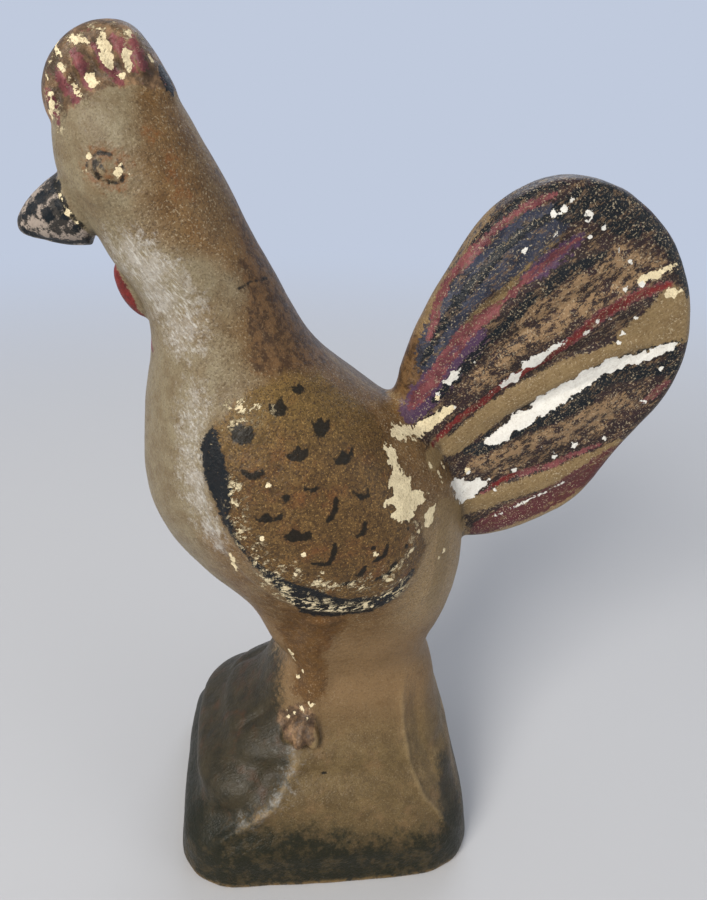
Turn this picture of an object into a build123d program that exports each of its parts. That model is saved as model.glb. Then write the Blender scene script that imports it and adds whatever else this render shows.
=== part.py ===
from build123d import *

# Hollow chalkware rooster on a flared pedestal, cast in two halves.
#
# Millimetres, +Z up. The bird faces -X and its left side is -Y. The origin is the
# middle of the underside, so the figure stands on Z = 0. The left half is modelled
# and the right half is its mirror image in the plane Y = 0, where the two meet.

import os
from math import copysign, cos, pi, sin

# Overall sizes of the figure
total_height = 152.0
body_length = 58.0
body_width = 42.0
base_length = 62.0
base_width = 53.0
pedestal_height = 50.0

# Walls of the casting
body_wall = 4.0
pedestal_wall = 4.5
bead_width = 7.0
bead_thickness = 1.6
disc_thickness = 5.0

# Tail
tail_reach = 50.0
tail_rise = 50.0
tail_plate_thickness = 7.0
tail_plate_edge = 2.4

# Wing
wing_length = 36.0
wing_height = 42.0
wing_relief = 1.3
wing_band_relief = 0.7

# Head
comb_length = 20.0
comb_height = 14.0
comb_thickness = 7.0
comb_rib_width = 2.5
comb_rib_relief = 0.7
beak_length = 10.5
beak_depth = 12.0
beak_width = 9.0
wattle_length = 10.0
wattle_width = 4.6
eye_diameter = 7.0
eye_ring_thickness = 1.5
pupil_diameter = 4.6

# Legs
leg_width = 7.0
leg_relief = 2.2
toe_length = 7.0
toe_width = 2.8

# Pedestal, one rounded block per level: the level as a share of pedestal_height, the
# front and the back as shares of base_length, the width as a share of base_width, and
# the squareness of the outline, where 2 is an oval.
pedestal_shares = (
    (0.000, -0.490, 0.484, 0.984, 5.0),
    (0.045, -0.500, 0.490, 1.000, 5.0),
    (0.130, -0.494, 0.480, 0.985, 4.9),
    (0.220, -0.472, 0.466, 0.950, 4.2),
    (0.330, -0.441, 0.440, 0.870, 3.5),
    (0.440, -0.404, 0.416, 0.765, 3.1),
    (0.510, -0.354, 0.400, 0.690, 2.9),
    (0.580, -0.290, 0.386, 0.615, 2.8),
    (0.670, -0.220, 0.365, 0.530, 2.8),
    (0.780, -0.175, 0.345, 0.465, 2.8),
    (0.900, -0.160, 0.323, 0.425, 2.8),
)

# Body, neck and head, one oval per level: the level as a share of total_height, the
# front and the back as shares of body_length, the greatest width as a share of
# body_width, and the squareness.
body_shares = (
    (0.303, -0.190, 0.350, 0.56, 2.7),
    (0.342, -0.240, 0.386, 0.61, 2.5),
    (0.382, -0.300, 0.416, 0.70, 2.3),
    (0.428, -0.405, 0.432, 0.84, 2.1),
    (0.474, -0.500, 0.426, 0.95, 2.0),
    (0.526, -0.556, 0.397, 1.00, 2.0),
    (0.579, -0.565, 0.325, 0.96, 2.0),
    (0.632, -0.550, 0.176, 0.84, 2.0),
    (0.684, -0.525, -0.006, 0.69, 2.0),
    (0.737, -0.518, -0.118, 0.56, 2.0),
    (0.776, -0.562, -0.172, 0.51, 2.0),
    (0.816, -0.626, -0.230, 0.48, 2.0),
    (0.855, -0.684, -0.280, 0.46, 2.0),
    (0.895, -0.704, -0.336, 0.42, 2.0),
    (0.920, -0.698, -0.372, 0.36, 2.0),
    (0.945, -0.670, -0.410, 0.25, 2.0),
    (0.964, -0.630, -0.445, 0.16, 2.0),
)

# How finely one outline is drawn
outline_points = 24

# The hollow follows the pedestal up to a share of pedestal_height, then the body from
# and up to a share of total_height, and the seam bead closes it over a little lower.
# The head and the tail are solid.
hollow_pedestal_share = 0.78
hollow_body_share = 0.342
hollow_top_share = 0.816
bead_top_share = 0.776

# Where the tail is rooted in the body: shares of body_length and of total_height.
tail_root_shares = (0.172, 0.553)

# Outline of the tail's plate from the saddle round over the top to the underside, as
# shares of tail_reach and of tail_rise from the root.
tail_outline_shares = (
    (-0.02, 0.22),
    (0.06, 0.46),
    (0.15, 0.69),
    (0.29, 0.91),
    (0.50, 1.00),
    (0.72, 0.94),
    (0.90, 0.77),
    (0.985, 0.58),
    (1.00, 0.38),
    (0.93, 0.20),
    (0.83, 0.05),
    (0.76, -0.09),
    (0.68, -0.18),
    (0.54, -0.245),
    (0.38, -0.29),
    (0.22, -0.28),
)

# The tail's seven feathers from the top one down: the greatest width and thickness as
# shares of tail_reach, then four points of the middle line from the root to the tip,
# as shares of tail_reach and of tail_rise from the tail's root.
feather_shares = (
    (0.24, 0.180, ((0.02, 0.12), (0.19, 0.53), (0.39, 0.80), (0.75, 0.88))),
    (0.26, 0.186, ((0.02, 0.07), (0.28, 0.50), (0.53, 0.70), (0.86, 0.77))),
    (0.26, 0.188, ((0.04, 0.02), (0.36, 0.40), (0.63, 0.59), (0.94, 0.66))),
    (0.20, 0.178, ((0.06, -0.03), (0.38, 0.25), (0.66, 0.42), (0.99, 0.51))),
    (0.28, 0.188, ((0.04, -0.12), (0.42, 0.10), (0.70, 0.26), (0.97, 0.36))),
    (0.19, 0.168, ((0.08, -0.22), (0.40, -0.11), (0.64, -0.02), (0.84, 0.09))),
    (0.15, 0.146, ((0.14, -0.26), (0.44, -0.23), (0.61, -0.15), (0.74, -0.05))),
)

# How a feather swells and closes: the place along it, and there its width as a share
# of the greatest width.
feather_swell_shares = (
    (0.00, 0.60),
    (0.25, 0.85),
    (0.50, 1.00),
    (0.75, 0.96),
    (0.90, 0.74),
    (0.97, 0.46),
    (1.00, 0.16),
)

# Outline of the raised wing, round from its shoulder to its front edge: shares of
# wing_length and wing_height from the wing's middle.
wing_middle_shares = (-0.057, 0.5625)
wing_outline_shares = (
    (-0.46, 0.33),
    (-0.50, 0.16),
    (-0.49, -0.01),
    (-0.43, -0.15),
    (-0.31, -0.32),
    (-0.14, -0.45),
    (0.09, -0.50),
    (0.30, -0.48),
    (0.44, -0.38),
    (0.50, -0.22),
    (0.43, -0.03),
    (0.35, 0.12),
    (0.26, 0.25),
    (0.07, 0.43),
    (-0.15, 0.49),
    (-0.33, 0.44),
)

# The wing follows the body between these shares of total_height
wing_low_share = 0.382
wing_high_share = 0.776

# The flat field of the wing lies inside the raised band of its edge
wing_field_share = 0.84

# Outline of the comb from its front foot over the crown to its back foot, as shares of
# comb_length and comb_height from the comb's middle.
comb_middle_shares = (-0.547, 0.954)
comb_outline_shares = (
    (-0.46, -0.38),
    (-0.48, -0.12),
    (-0.39, 0.18),
    (-0.22, 0.40),
    (0.00, 0.49),
    (0.14, 0.46),
    (0.26, 0.28),
    (0.37, 0.04),
    (0.43, -0.26),
    (0.28, -0.50),
    (0.00, -0.52),
    (-0.28, -0.52),
)

# How the comb's plate draws in from the middle plane to its two faces: the place
# across it as a share of half its thickness, and the size of its outline there.
comb_swell_shares = (
    (-1.00, 0.74),
    (-0.80, 0.90),
    (-0.40, 0.98),
    (0.00, 1.00),
    (0.40, 0.98),
    (0.80, 0.90),
    (1.00, 0.74),
)

# The comb's ribs: the foot and the head of each as shares of comb_length and
# comb_height from the comb's middle.
comb_rib_shares = (
    ((-0.350, -0.390), (-0.410, -0.110)),
    ((-0.200, -0.250), (-0.325, 0.120)),
    ((-0.100, -0.190), (-0.220, 0.260)),
    ((0.045, -0.120), (-0.090, 0.340)),
    ((0.165, -0.080), (0.045, 0.375)),
    ((0.270, -0.100), (0.165, 0.320)),
)

# How a rib or a toe swells along its length
rib_swell_shares = (
    (0.00, 0.30),
    (0.10, 0.70),
    (0.35, 1.00),
    (0.75, 0.95),
    (0.93, 0.65),
    (1.00, 0.25),
)

# The beak from its root to its tip: the place along beak_length, the middle's drop as
# a share of beak_depth, then the depth and the width as shares of theirs.
beak_root_shares = (-0.640, 0.844)
beak_shares = (
    (0.00, 0.000, 1.00, 1.00),
    (0.35, 0.070, 0.86, 0.86),
    (0.60, 0.130, 0.66, 0.68),
    (0.80, 0.190, 0.47, 0.50),
    (0.93, 0.240, 0.30, 0.33),
    (1.00, 0.260, 0.10, 0.12),
)

# Middles of the wattle and of the eye: shares of body_length and of total_height, then
# how far out the eye sits as a share of body_width.
wattle_middle_shares = (-0.548, 0.760)
wattle_tilt = 24.0
eye_middle_shares = (-0.580, 0.875, 0.192)
eye_turn = 22.0

# The leg from the thigh down to the ankle, then the foot: shares of body_length,
# body_width and total_height, and the swell as a share of leg_width.
leg_shares = (
    (-0.040, 0.345, 0.401, 1.10),
    (-0.048, 0.292, 0.365, 1.05),
    (-0.050, 0.262, 0.320, 0.90),
    (-0.050, 0.250, 0.280, 0.78),
    (-0.060, 0.280, 0.240, 0.68),
    (-0.072, 0.300, 0.222, 0.60),
)
foot_middle_shares = (-0.085, 0.300, 0.226)
toe_turns = (-62.0, -22.0, 18.0)
toe_dip = 45.0


def levels_of(lowest, highest, pedestal_inset, body_inset):
    """List level, front, back, width and squareness between two shares of the height."""
    levels = []
    for level, front, back, width, squareness in pedestal_shares:
        height = level * pedestal_height
        if lowest * total_height <= height <= highest * total_height:
            front_end = front * base_length + pedestal_inset
            back_end = back * base_length - pedestal_inset
            levels.append(
                (height, front_end, back_end, width * base_width - 2 * pedestal_inset, squareness)
            )
    for level, front, back, width, squareness in body_shares:
        if lowest <= level <= highest:
            front_end = front * body_length + body_inset
            back_end = back * body_length - body_inset
            levels.append(
                (
                    level * total_height,
                    front_end,
                    back_end,
                    width * body_width - 2 * body_inset,
                    squareness,
                )
            )
    return levels


def rounded_power(value, squareness):
    """Raise a sine or cosine to the power that squares an oval up, keeping its sign."""
    return copysign(abs(value) ** (2 / squareness), value)


def skin(levels):
    """Loft one smooth form through rounded outlines, one at each level."""
    turns = [2 * pi * step / outline_points for step in range(outline_points)]
    knots = [step / outline_points for step in range(outline_points + 1)]
    with BuildPart() as form:
        for level, front, back, width, squareness in levels:
            outline = [
                (
                    (front + back) / 2
                    + (back - front) / 2 * rounded_power(cos(turn), squareness),
                    width / 2 * rounded_power(sin(turn), squareness),
                )
                for turn in turns
            ]
            with BuildSketch(Plane.XY.offset(level)):
                with BuildLine():
                    add(Edge.make_spline(outline, periodic=True, parameters=knots))
                make_face()
        loft()
    return form.part


def tail_point(reach_share, rise_share):
    """Give a point of the tail on the middle plane, as X and Z."""
    root_reach, root_level = tail_root_shares
    return (
        root_reach * body_length + reach_share * tail_reach,
        root_level * total_height + rise_share * tail_rise,
    )


def feather(width_share, thickness_share, line_shares):
    """Loft one feather of the tail along its curved middle line."""
    with BuildPart() as form:
        with BuildLine(Plane.XZ) as middle:
            Spline([tail_point(*spot) for spot in line_shares])
        for along, swell in feather_swell_shares:
            direction = middle.line % along
            across = Vector(0, 1, 0).cross(direction)
            with BuildSketch(Plane(origin=middle.line @ along, x_dir=across, z_dir=direction)):
                width = swell * width_share * tail_reach
                thickness = swell * thickness_share * tail_reach
                Ellipse(width / 2, thickness / 2)
        loft()
    return form.part


def tail_plate():
    """Make the plate that the feathers lie on, with a rounded rim."""
    with BuildPart() as form:
        with BuildSketch(Plane.XZ):
            with BuildLine():
                Spline([tail_point(*spot) for spot in tail_outline_shares], periodic=True)
            make_face()
        extrude(amount=tail_plate_thickness / 2, both=True)
        fillet(form.edges(), tail_plate_edge)
    return form.part


def comb_plate():
    """Loft the comb's plate from cheek to cheek, fullest on the middle plane."""
    along_middle, level_middle = comb_middle_shares
    with BuildPart() as form:
        for aside, fullness in comb_swell_shares:
            with BuildSketch(Plane.XZ.offset(aside * comb_thickness / 2)):
                with BuildLine():
                    Spline(
                        [
                            (
                                along_middle * body_length + fullness * along * comb_length,
                                level_middle * total_height + fullness * rise * comb_height,
                            )
                            for along, rise in comb_outline_shares
                        ],
                        periodic=True,
                    )
                make_face()
        loft()
    return form.part


def spindle(start, end, width, thickness, swell_shares):
    """Loft a tapered bar of oval section from one point to another."""
    reach = end - start
    across = Vector(0, 1, 0).cross(reach)
    with BuildPart() as form:
        for along, swell in swell_shares:
            with BuildSketch(Plane(origin=start + reach * along, x_dir=across, z_dir=reach)):
                Ellipse(swell * width / 2, swell * thickness / 2)
        loft()
    return form.part


def comb_rib(foot_shares, head_shares):
    """Make one rib of the comb, which shows on both faces of the plate."""
    along_middle, level_middle = comb_middle_shares
    ends = [
        Vector(
            along_middle * body_length + along * comb_length,
            0,
            level_middle * total_height + rise * comb_height,
        )
        for along, rise in (foot_shares, head_shares)
    ]
    rib_thickness = comb_thickness + 2 * comb_rib_relief
    return spindle(ends[0], ends[1], comb_rib_width, rib_thickness, rib_swell_shares)


def beak():
    """Loft the beak forwards from the face, with its tip drooping."""
    root_along, root_level = beak_root_shares
    with BuildPart() as form:
        for along, drop, depth, width in beak_shares:
            middle = (
                root_along * body_length - along * beak_length,
                0,
                root_level * total_height - drop * beak_depth,
            )
            with BuildSketch(Plane(origin=middle, x_dir=(0, 0, 1), z_dir=(-1, 0, 0))):
                Ellipse(depth * beak_depth / 2, width * beak_width / 2)
        loft()
    return form.part


def wattle():
    """Turn the long drop of the wattle and lean it along the throat."""
    along, level = wattle_middle_shares
    with BuildPart() as form:
        with BuildSketch(Plane.XZ):
            Ellipse(wattle_width / 2, wattle_length / 2)
            with Locations((wattle_width, 0)):
                Rectangle(2 * wattle_width, 2 * wattle_length, mode=Mode.SUBTRACT)
        revolve(axis=Axis.Z)
    lean = Plane(
        origin=(along * body_length, 0, level * total_height),
        z_dir=Vector(-1, 0, 0).rotate(Axis.Y, 90 - wattle_tilt),
    )
    return lean * form.part


def wing_prism(grown_share):
    """Extrude the wing's outline, times a share, from the middle plane out past the body."""
    along_middle, level_middle = wing_middle_shares
    with BuildPart() as form:
        with BuildSketch(Plane.XZ):
            with BuildLine():
                Spline(
                    [
                        (
                            along_middle * body_length + grown_share * along * wing_length,
                            level_middle * total_height + grown_share * rise * wing_height,
                        )
                        for along, rise in wing_outline_shares
                    ],
                    periodic=True,
                )
            make_face()
        extrude(amount=body_width)
    return form.part


def wing_layer(grown_share, relief):
    """Raise the part of the body inside the wing's outline, times a share, by its relief."""
    with BuildPart() as form:
        add(skin(levels_of(wing_low_share, wing_high_share, 0, -relief)))
        add(wing_prism(grown_share), mode=Mode.INTERSECT)
    return form.part


def wing():
    """Raise the wing's field off the body and its banded edge a little less."""
    return [wing_layer(1, wing_band_relief), wing_layer(wing_field_share, wing_relief)]


def left_eye():
    """Make the moulded ring of the eye with the pupil standing in it."""
    along, level, outward = eye_middle_shares
    seat = Plane(
        origin=(along * body_length, -outward * body_width, level * total_height),
        x_dir=(0, 0, 1),
        z_dir=Vector(0, -1, 0).rotate(Axis.Z, -eye_turn),
    )
    ring_radius = (eye_diameter - eye_ring_thickness) / 2
    ring = Torus(ring_radius, eye_ring_thickness / 2, mode=Mode.PRIVATE)
    pupil = Sphere(pupil_diameter / 2, mode=Mode.PRIVATE)
    return [seat * ring, seat * pupil]


def left_leg():
    """Loft the leg in relief down the pedestal and set three toes at its foot."""
    with BuildPart() as form:
        for along, outward, level, swell in leg_shares:
            middle = (along * body_length, -outward * body_width)
            with BuildSketch(Plane.XY.offset(level * total_height)):
                with Locations(middle):
                    Ellipse(swell * leg_width / 2, swell * leg_relief)
        loft()
    along, outward, level = foot_middle_shares
    heel = Vector(along * body_length, -outward * body_width, level * total_height)
    toes = [
        spindle(
            heel,
            heel + Vector(0, -toe_length, 0).rotate(Axis.X, toe_dip).rotate(Axis.Z, turn),
            toe_width,
            toe_width,
            rib_swell_shares,
        )
        for turn in toe_turns
    ]
    return [form.part] + toes


def cavity(inset, top_share):
    """Make the hollow from the open underside up into the neck, drawn in by inset more."""
    pedestal_top_share = hollow_pedestal_share * pedestal_height / total_height
    pedestal_levels = levels_of(0, pedestal_top_share, pedestal_wall + inset, 0)
    body_levels = levels_of(hollow_body_share, top_share, 0, body_wall + inset)
    return skin(pedestal_levels + body_levels)


hollow = cavity(0, hollow_top_share)
hollow_inside_bead = cavity(bead_thickness, bead_top_share)

# Everything that shows on the left side, still solid
with BuildPart() as left_form:
    add(skin(levels_of(0, 1, 0, 0)))
    add(left_leg())
    add(wing())
    add([beak(), wattle(), comb_plate()])
    add([comb_rib(*shares) for shares in comb_rib_shares])
    add(left_eye())
    add(tail_plate())
    add([feather(*shares) for shares in feather_shares])
    split(bisect_by=Plane.XZ)

with BuildPart() as left_half:
    add(left_form.part)
    add(hollow, mode=Mode.SUBTRACT)

with BuildPart() as right_half:
    add(left_form.part)
    mirror(about=Plane.XZ, mode=Mode.REPLACE)
    add(hollow, mode=Mode.SUBTRACT)

# The disc is the lowest slice of the hollow, flush with the rim that the figure stands on
with BuildPart() as base_disc:
    add(hollow)
    split(bisect_by=Plane.XY.offset(disc_thickness), keep=Keep.BOTTOM)

# The bead lines the seam on the hollow's wall, from the disc up
with BuildPart() as seam_bead:
    add(hollow)
    add(hollow_inside_bead, mode=Mode.SUBTRACT)
    split(bisect_by=Plane.XY.offset(disc_thickness))
    split(bisect_by=Plane.XZ.offset(-bead_width / 2))
    split(bisect_by=Plane.XZ.offset(bead_width / 2), keep=Keep.BOTTOM)

left_half.part.label = "left_half"
right_half.part.label = "right_half"
base_disc.part.label = "base_disc"
seam_bead.part.label = "seam_bead"

os.makedirs("parts", exist_ok=True)
export_step(left_half.part, "parts/left_half.step")
export_step(right_half.part, "parts/right_half.step")
export_step(base_disc.part, "parts/base_disc.step")
export_step(seam_bead.part, "parts/seam_bead.step")
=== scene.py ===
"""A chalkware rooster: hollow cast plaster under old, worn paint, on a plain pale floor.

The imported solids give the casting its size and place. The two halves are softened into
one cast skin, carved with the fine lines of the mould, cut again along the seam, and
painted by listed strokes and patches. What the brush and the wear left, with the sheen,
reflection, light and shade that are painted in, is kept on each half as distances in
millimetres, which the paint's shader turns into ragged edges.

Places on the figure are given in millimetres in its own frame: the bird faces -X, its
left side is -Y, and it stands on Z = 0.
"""

import logging
import math
from dataclasses import dataclass, field
from enum import Enum
from functools import partial

import bmesh
import bpy
import numpy as np
from mathutils import Matrix, Vector
from mathutils.bvhtree import BVHTree


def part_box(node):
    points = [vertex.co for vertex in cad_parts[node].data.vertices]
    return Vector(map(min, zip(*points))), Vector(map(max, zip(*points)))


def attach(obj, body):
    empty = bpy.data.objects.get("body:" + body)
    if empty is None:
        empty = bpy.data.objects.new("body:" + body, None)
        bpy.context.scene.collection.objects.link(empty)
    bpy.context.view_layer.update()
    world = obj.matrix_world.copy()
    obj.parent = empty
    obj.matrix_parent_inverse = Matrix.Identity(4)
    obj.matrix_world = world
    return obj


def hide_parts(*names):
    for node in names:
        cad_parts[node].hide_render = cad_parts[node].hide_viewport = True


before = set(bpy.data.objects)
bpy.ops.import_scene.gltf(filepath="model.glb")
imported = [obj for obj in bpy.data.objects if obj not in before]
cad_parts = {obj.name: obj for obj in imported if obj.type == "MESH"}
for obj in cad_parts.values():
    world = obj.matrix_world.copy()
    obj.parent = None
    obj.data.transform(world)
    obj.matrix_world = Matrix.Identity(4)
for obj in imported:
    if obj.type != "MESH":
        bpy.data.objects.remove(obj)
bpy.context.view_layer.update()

MM = 0.001
FAR = 4.0  # millimetres from a stroke at which its distance stops being kept
OUTSIDE = 60.0  # millimetres from the seam's plane, clear of either flank
PULL = 0.6  # share of the way to its neighbours that a point moves in one round
TAIL_RISE = 41.0  # degrees by which the tail's feathers rise towards their ends
WELD = 1e-6  # metres within which two corners are one
FLAT = 2e-6  # metres within which a corner lies in a plane
TINY = 1e-9  # stands in for zero where something is divided by it

Line = tuple[tuple[float, float], ...]
Range = tuple[float, float]

log = logging.getLogger("rooster")


# ---------------------------------------------------------------- nodes


def linear(hex_colour: str) -> tuple[float, float, float, float]:
    """Turn an sRGB hex colour into the linear colour that a socket takes.

    Args:
        hex_colour: six hex digits, with or without a leading mark.

    Returns:
        Red, green, blue and an alpha of one.
    """
    digits = hex_colour.lstrip("#")
    shares = [int(digits[i : i + 2], 16) / 255 for i in (0, 2, 4)]
    red, green, blue_sheen_on_black = (
        share / 12.92 if share <= 0.04045 else ((share + 0.055) / 1.055) ** 2.4
        for share in shares
    )
    return (red, green, blue_sheen_on_black, 1.0)


def add_node(
    tree: bpy.types.NodeTree,
    kind: str,
    settings: dict[str, object] | None = None,
    inputs: dict[str | int, object] | None = None,
) -> bpy.types.Node:
    """Add one node to a tree, with its settings and links.

    Args:
        tree: the tree that the node joins.
        kind: the node's type name.
        settings: values for the node's own properties.
        inputs: what each socket gets, a value or another node's output.

    Returns:
        The new node.
    """
    node = tree.nodes.new(kind)
    for name, value in (settings or {}).items():
        setattr(node, name, value)
    for key, value in (inputs or {}).items():
        value = value.socket if isinstance(value, Amount) else value
        if isinstance(value, bpy.types.NodeSocket):
            tree.links.new(value, node.inputs[key])
        else:
            node.inputs[key].default_value = value
    return node


@dataclass(frozen=True)
class Amount:
    """A number that varies over a surface, and that more nodes can reckon with."""

    socket: bpy.types.NodeSocket

    def reckon(self, operation: str, *others: object) -> "Amount":
        """Work out one step of arithmetic.

        Args:
            operation: what is done.
            others: the numbers that follow this one in it.

        Returns:
            The result.
        """
        inputs = dict(enumerate((self, *others)))
        tree = self.socket.id_data
        return Amount(add_node(tree, "ShaderNodeMath", {"operation": operation}, inputs).outputs[0])

    def __add__(self, other: object) -> "Amount":
        """Add another number."""
        return self.reckon("ADD", other)

    def __sub__(self, other: object) -> "Amount":
        """Take another number away."""
        return self.reckon("SUBTRACT", other)

    def __mul__(self, other: object) -> "Amount":
        """Multiply by another number."""
        return self.reckon("MULTIPLY", other)

    def __truediv__(self, other: object) -> "Amount":
        """Divide by another number."""
        return self.reckon("DIVIDE", other)

    def most(self, other: object) -> "Amount":
        """Take the larger of this number and another."""
        return self.reckon("MAXIMUM", other)

    def rest(self) -> "Amount":
        """Give what is left of 1."""
        return self.reckon("MULTIPLY_ADD", -1.0, 1.0)

    def ramp(self, start: float, end: float, top: float = 1.0) -> "Amount":
        """Turn the number into a share.

        Args:
            start: the number at which the share is 0.
            end: the number at which it is full.
            top: the share when it is full.

        Returns:
            The share, which grows smoothly in between.
        """
        span = {"Value": self, "From Min": start, "From Max": end, "To Max": top}
        smooth = {"interpolation_type": "SMOOTHSTEP"}
        return Amount(add_node(self.socket.id_data, "ShaderNodeMapRange", smooth, span).outputs[0])


# ---------------------------------------------------------------- meshes


def vertex_rows(vectors: bpy.types.bpy_prop_collection, name: str) -> np.ndarray:
    """Read a vector of every vertex, one row each.

    Args:
        vectors: the collection that holds them.
        name: the property's name.

    Returns:
        The rows.
    """
    rows = np.empty(len(vectors) * 3, np.float32)
    vectors.foreach_get(name, rows)
    return rows.reshape(-1, 3).astype(float)


def mesh_points(mesh: bpy.types.Mesh) -> np.ndarray:
    """Give a mesh's vertices in millimetres, one row each."""
    return vertex_rows(mesh.vertices, "co") / MM


def mesh_normals(mesh: bpy.types.Mesh) -> np.ndarray:
    """Give a mesh's vertex normals, one row each."""
    return vertex_rows(mesh.vertex_normals, "vector")


def move_points(mesh: bpy.types.Mesh, points: np.ndarray) -> None:
    """Move a mesh's vertices to new places, given in millimetres."""
    mesh.vertices.foreach_set("co", (points * MM).astype(np.float32).ravel())
    mesh.update()


def keep_values(mesh: bpy.types.Mesh, name: str, values: np.ndarray) -> None:
    """Keep a number for every vertex as an attribute of the mesh."""
    stored = mesh.attributes.new(name, "FLOAT", "POINT")
    stored.data.foreach_set("value", values.astype(np.float32))


def evened(
    mesh: bpy.types.Mesh, points: np.ndarray, rounds: int, weight: np.ndarray | float = 1.0
) -> np.ndarray:
    """Move every point towards the middle of its neighbours, again and again.

    Args:
        mesh: the mesh that says which points are neighbours.
        points: its points.
        rounds: how often they are moved.
        weight: how strongly, for all or for each point.

    Returns:
        The evened points.
    """
    ends = np.empty(len(mesh.edges) * 2, np.int32)
    mesh.edges.foreach_get("vertices", ends)
    first, second = ends.reshape(-1, 2).T
    total = len(points)
    count = np.bincount(first, minlength=total) + np.bincount(second, minlength=total)
    count = np.maximum(count, 1)
    pull = PULL * np.broadcast_to(weight, total)
    even = points.copy()
    for _ in range(rounds):
        for axis in range(3):
            values = even[:, axis]
            around = np.bincount(first, values[second], total)
            around += np.bincount(second, values[first], total)
            even[:, axis] = values + pull * (around / count - values)
    return even


def from_span(
    points: np.ndarray, start: np.ndarray, end: np.ndarray
) -> tuple[np.ndarray, np.ndarray]:
    """Measure points against one straight span.

    Args:
        points: the points, one row each.
        start: one end of the span.
        end: its other end.

    Returns:
        The share of the span at which each point is nearest to it, and its distance.
    """
    way = end - start
    share = np.clip((points - start) @ way / max(float(way @ way), TINY), 0, 1)
    return share, np.linalg.norm(points - start - share[:, None] * way, axis=1)


def bake_modifiers(piece: bpy.types.Object, name: str) -> None:
    """Turn a piece and its modifiers into a plain mesh.

    Args:
        piece: the piece, which keeps only the new mesh.
        name: the mesh's name.
    """
    depsgraph = bpy.context.evaluated_depsgraph_get()
    mesh = bpy.data.meshes.new_from_object(piece.evaluated_get(depsgraph))
    mesh.name = name
    piece.modifiers.clear()
    piece.data = mesh


def new_piece(name: str, mesh: bpy.types.Mesh) -> bpy.types.Object:
    """Put a mesh into the scene as an object at the origin.

    Args:
        name: the object's name.
        mesh: its mesh.

    Returns:
        The object.
    """
    piece = bpy.data.objects.new(name, mesh)
    bpy.context.scene.collection.objects.link(piece)
    return piece


def mesh_of(name: str, form: bmesh.types.BMesh) -> bpy.types.Mesh:
    """Write a bmesh into a new mesh and free it.

    Args:
        name: the mesh's name.
        form: the bmesh.

    Returns:
        The mesh.
    """
    mesh = bpy.data.meshes.new(name)
    form.to_mesh(mesh)
    form.free()
    return mesh


# ---------------------------------------------------------------- strokes and patches


class Coat(Enum):
    """What the brush or the wear left, with painted sheen, reflection and shade, each kept on the
    casting as a distance.
    """

    WINE = "coat_wine"
    BLACK = "coat_black"
    WORN_BLACK = "coat_worn_black"
    TAN = "coat_tan"
    OCHRE = "coat_ochre"
    TAIL = "coat_tail"
    MANTLE = "coat_mantle"
    RUST = "coat_rust"
    SMOOTH_TAN = "coat_smooth_tan"
    MOTTLED = "coat_mottled"
    COMB = "coat_comb"
    BEAK = "coat_beak"
    RED = "coat_red"
    PAINTED_SHEEN = "coat_painted_sheen"
    PURPLE_SHEEN = "coat_purple_sheen"
    OLIVE = "coat_olive"
    RUBBED = "coat_rubbed"
    DARK_WINE = "coat_dark_wine"
    BLUE = "coat_blue_sheen_on_black"
    LEG = "coat_leg"
    GESSO = "bare_gesso"
    CHIP = "bare_plaster"


@dataclass(frozen=True)
class Stroke:
    """One line of paint, wear, painted sheen or painted shade, laid on a flank of the figure.

    Attributes:
        coat: what the stroke is.
        line: its points as X and Z.
        width: its width in the middle.
        tip: its width at the two ends.
    """

    coat: Coat
    line: Line
    width: float
    tip: float = 0.6


@dataclass(frozen=True)
class Patch:
    """One filled shape on a flank.

    Attributes:
        coat: what the patch is.
        outline: its corners as X and Z.
        nearest: the least distance from the seam's plane at which it shows.
        furthest: the greatest such distance.
    """

    coat: Coat
    outline: Line
    nearest: float = 0.0
    furthest: float = 30.0


def path(text: str) -> Line:
    """Read points that are written as pairs in millimetres, X,Z X,Z and so on."""
    return tuple((float(x), float(z)) for x, z in (pair.split(",") for pair in text.split()))


def paths(text: str) -> list[Line]:
    """Read several rows of points, with a semicolon between them."""
    return [path(row) for row in text.split(";")]


def spots(coat: Coat, width: float, places: str) -> list[Stroke]:
    """Make round spots of one width, each a stroke of a single point."""
    return [Stroke(coat, (place,), width, width) for place in path(places)]


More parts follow.
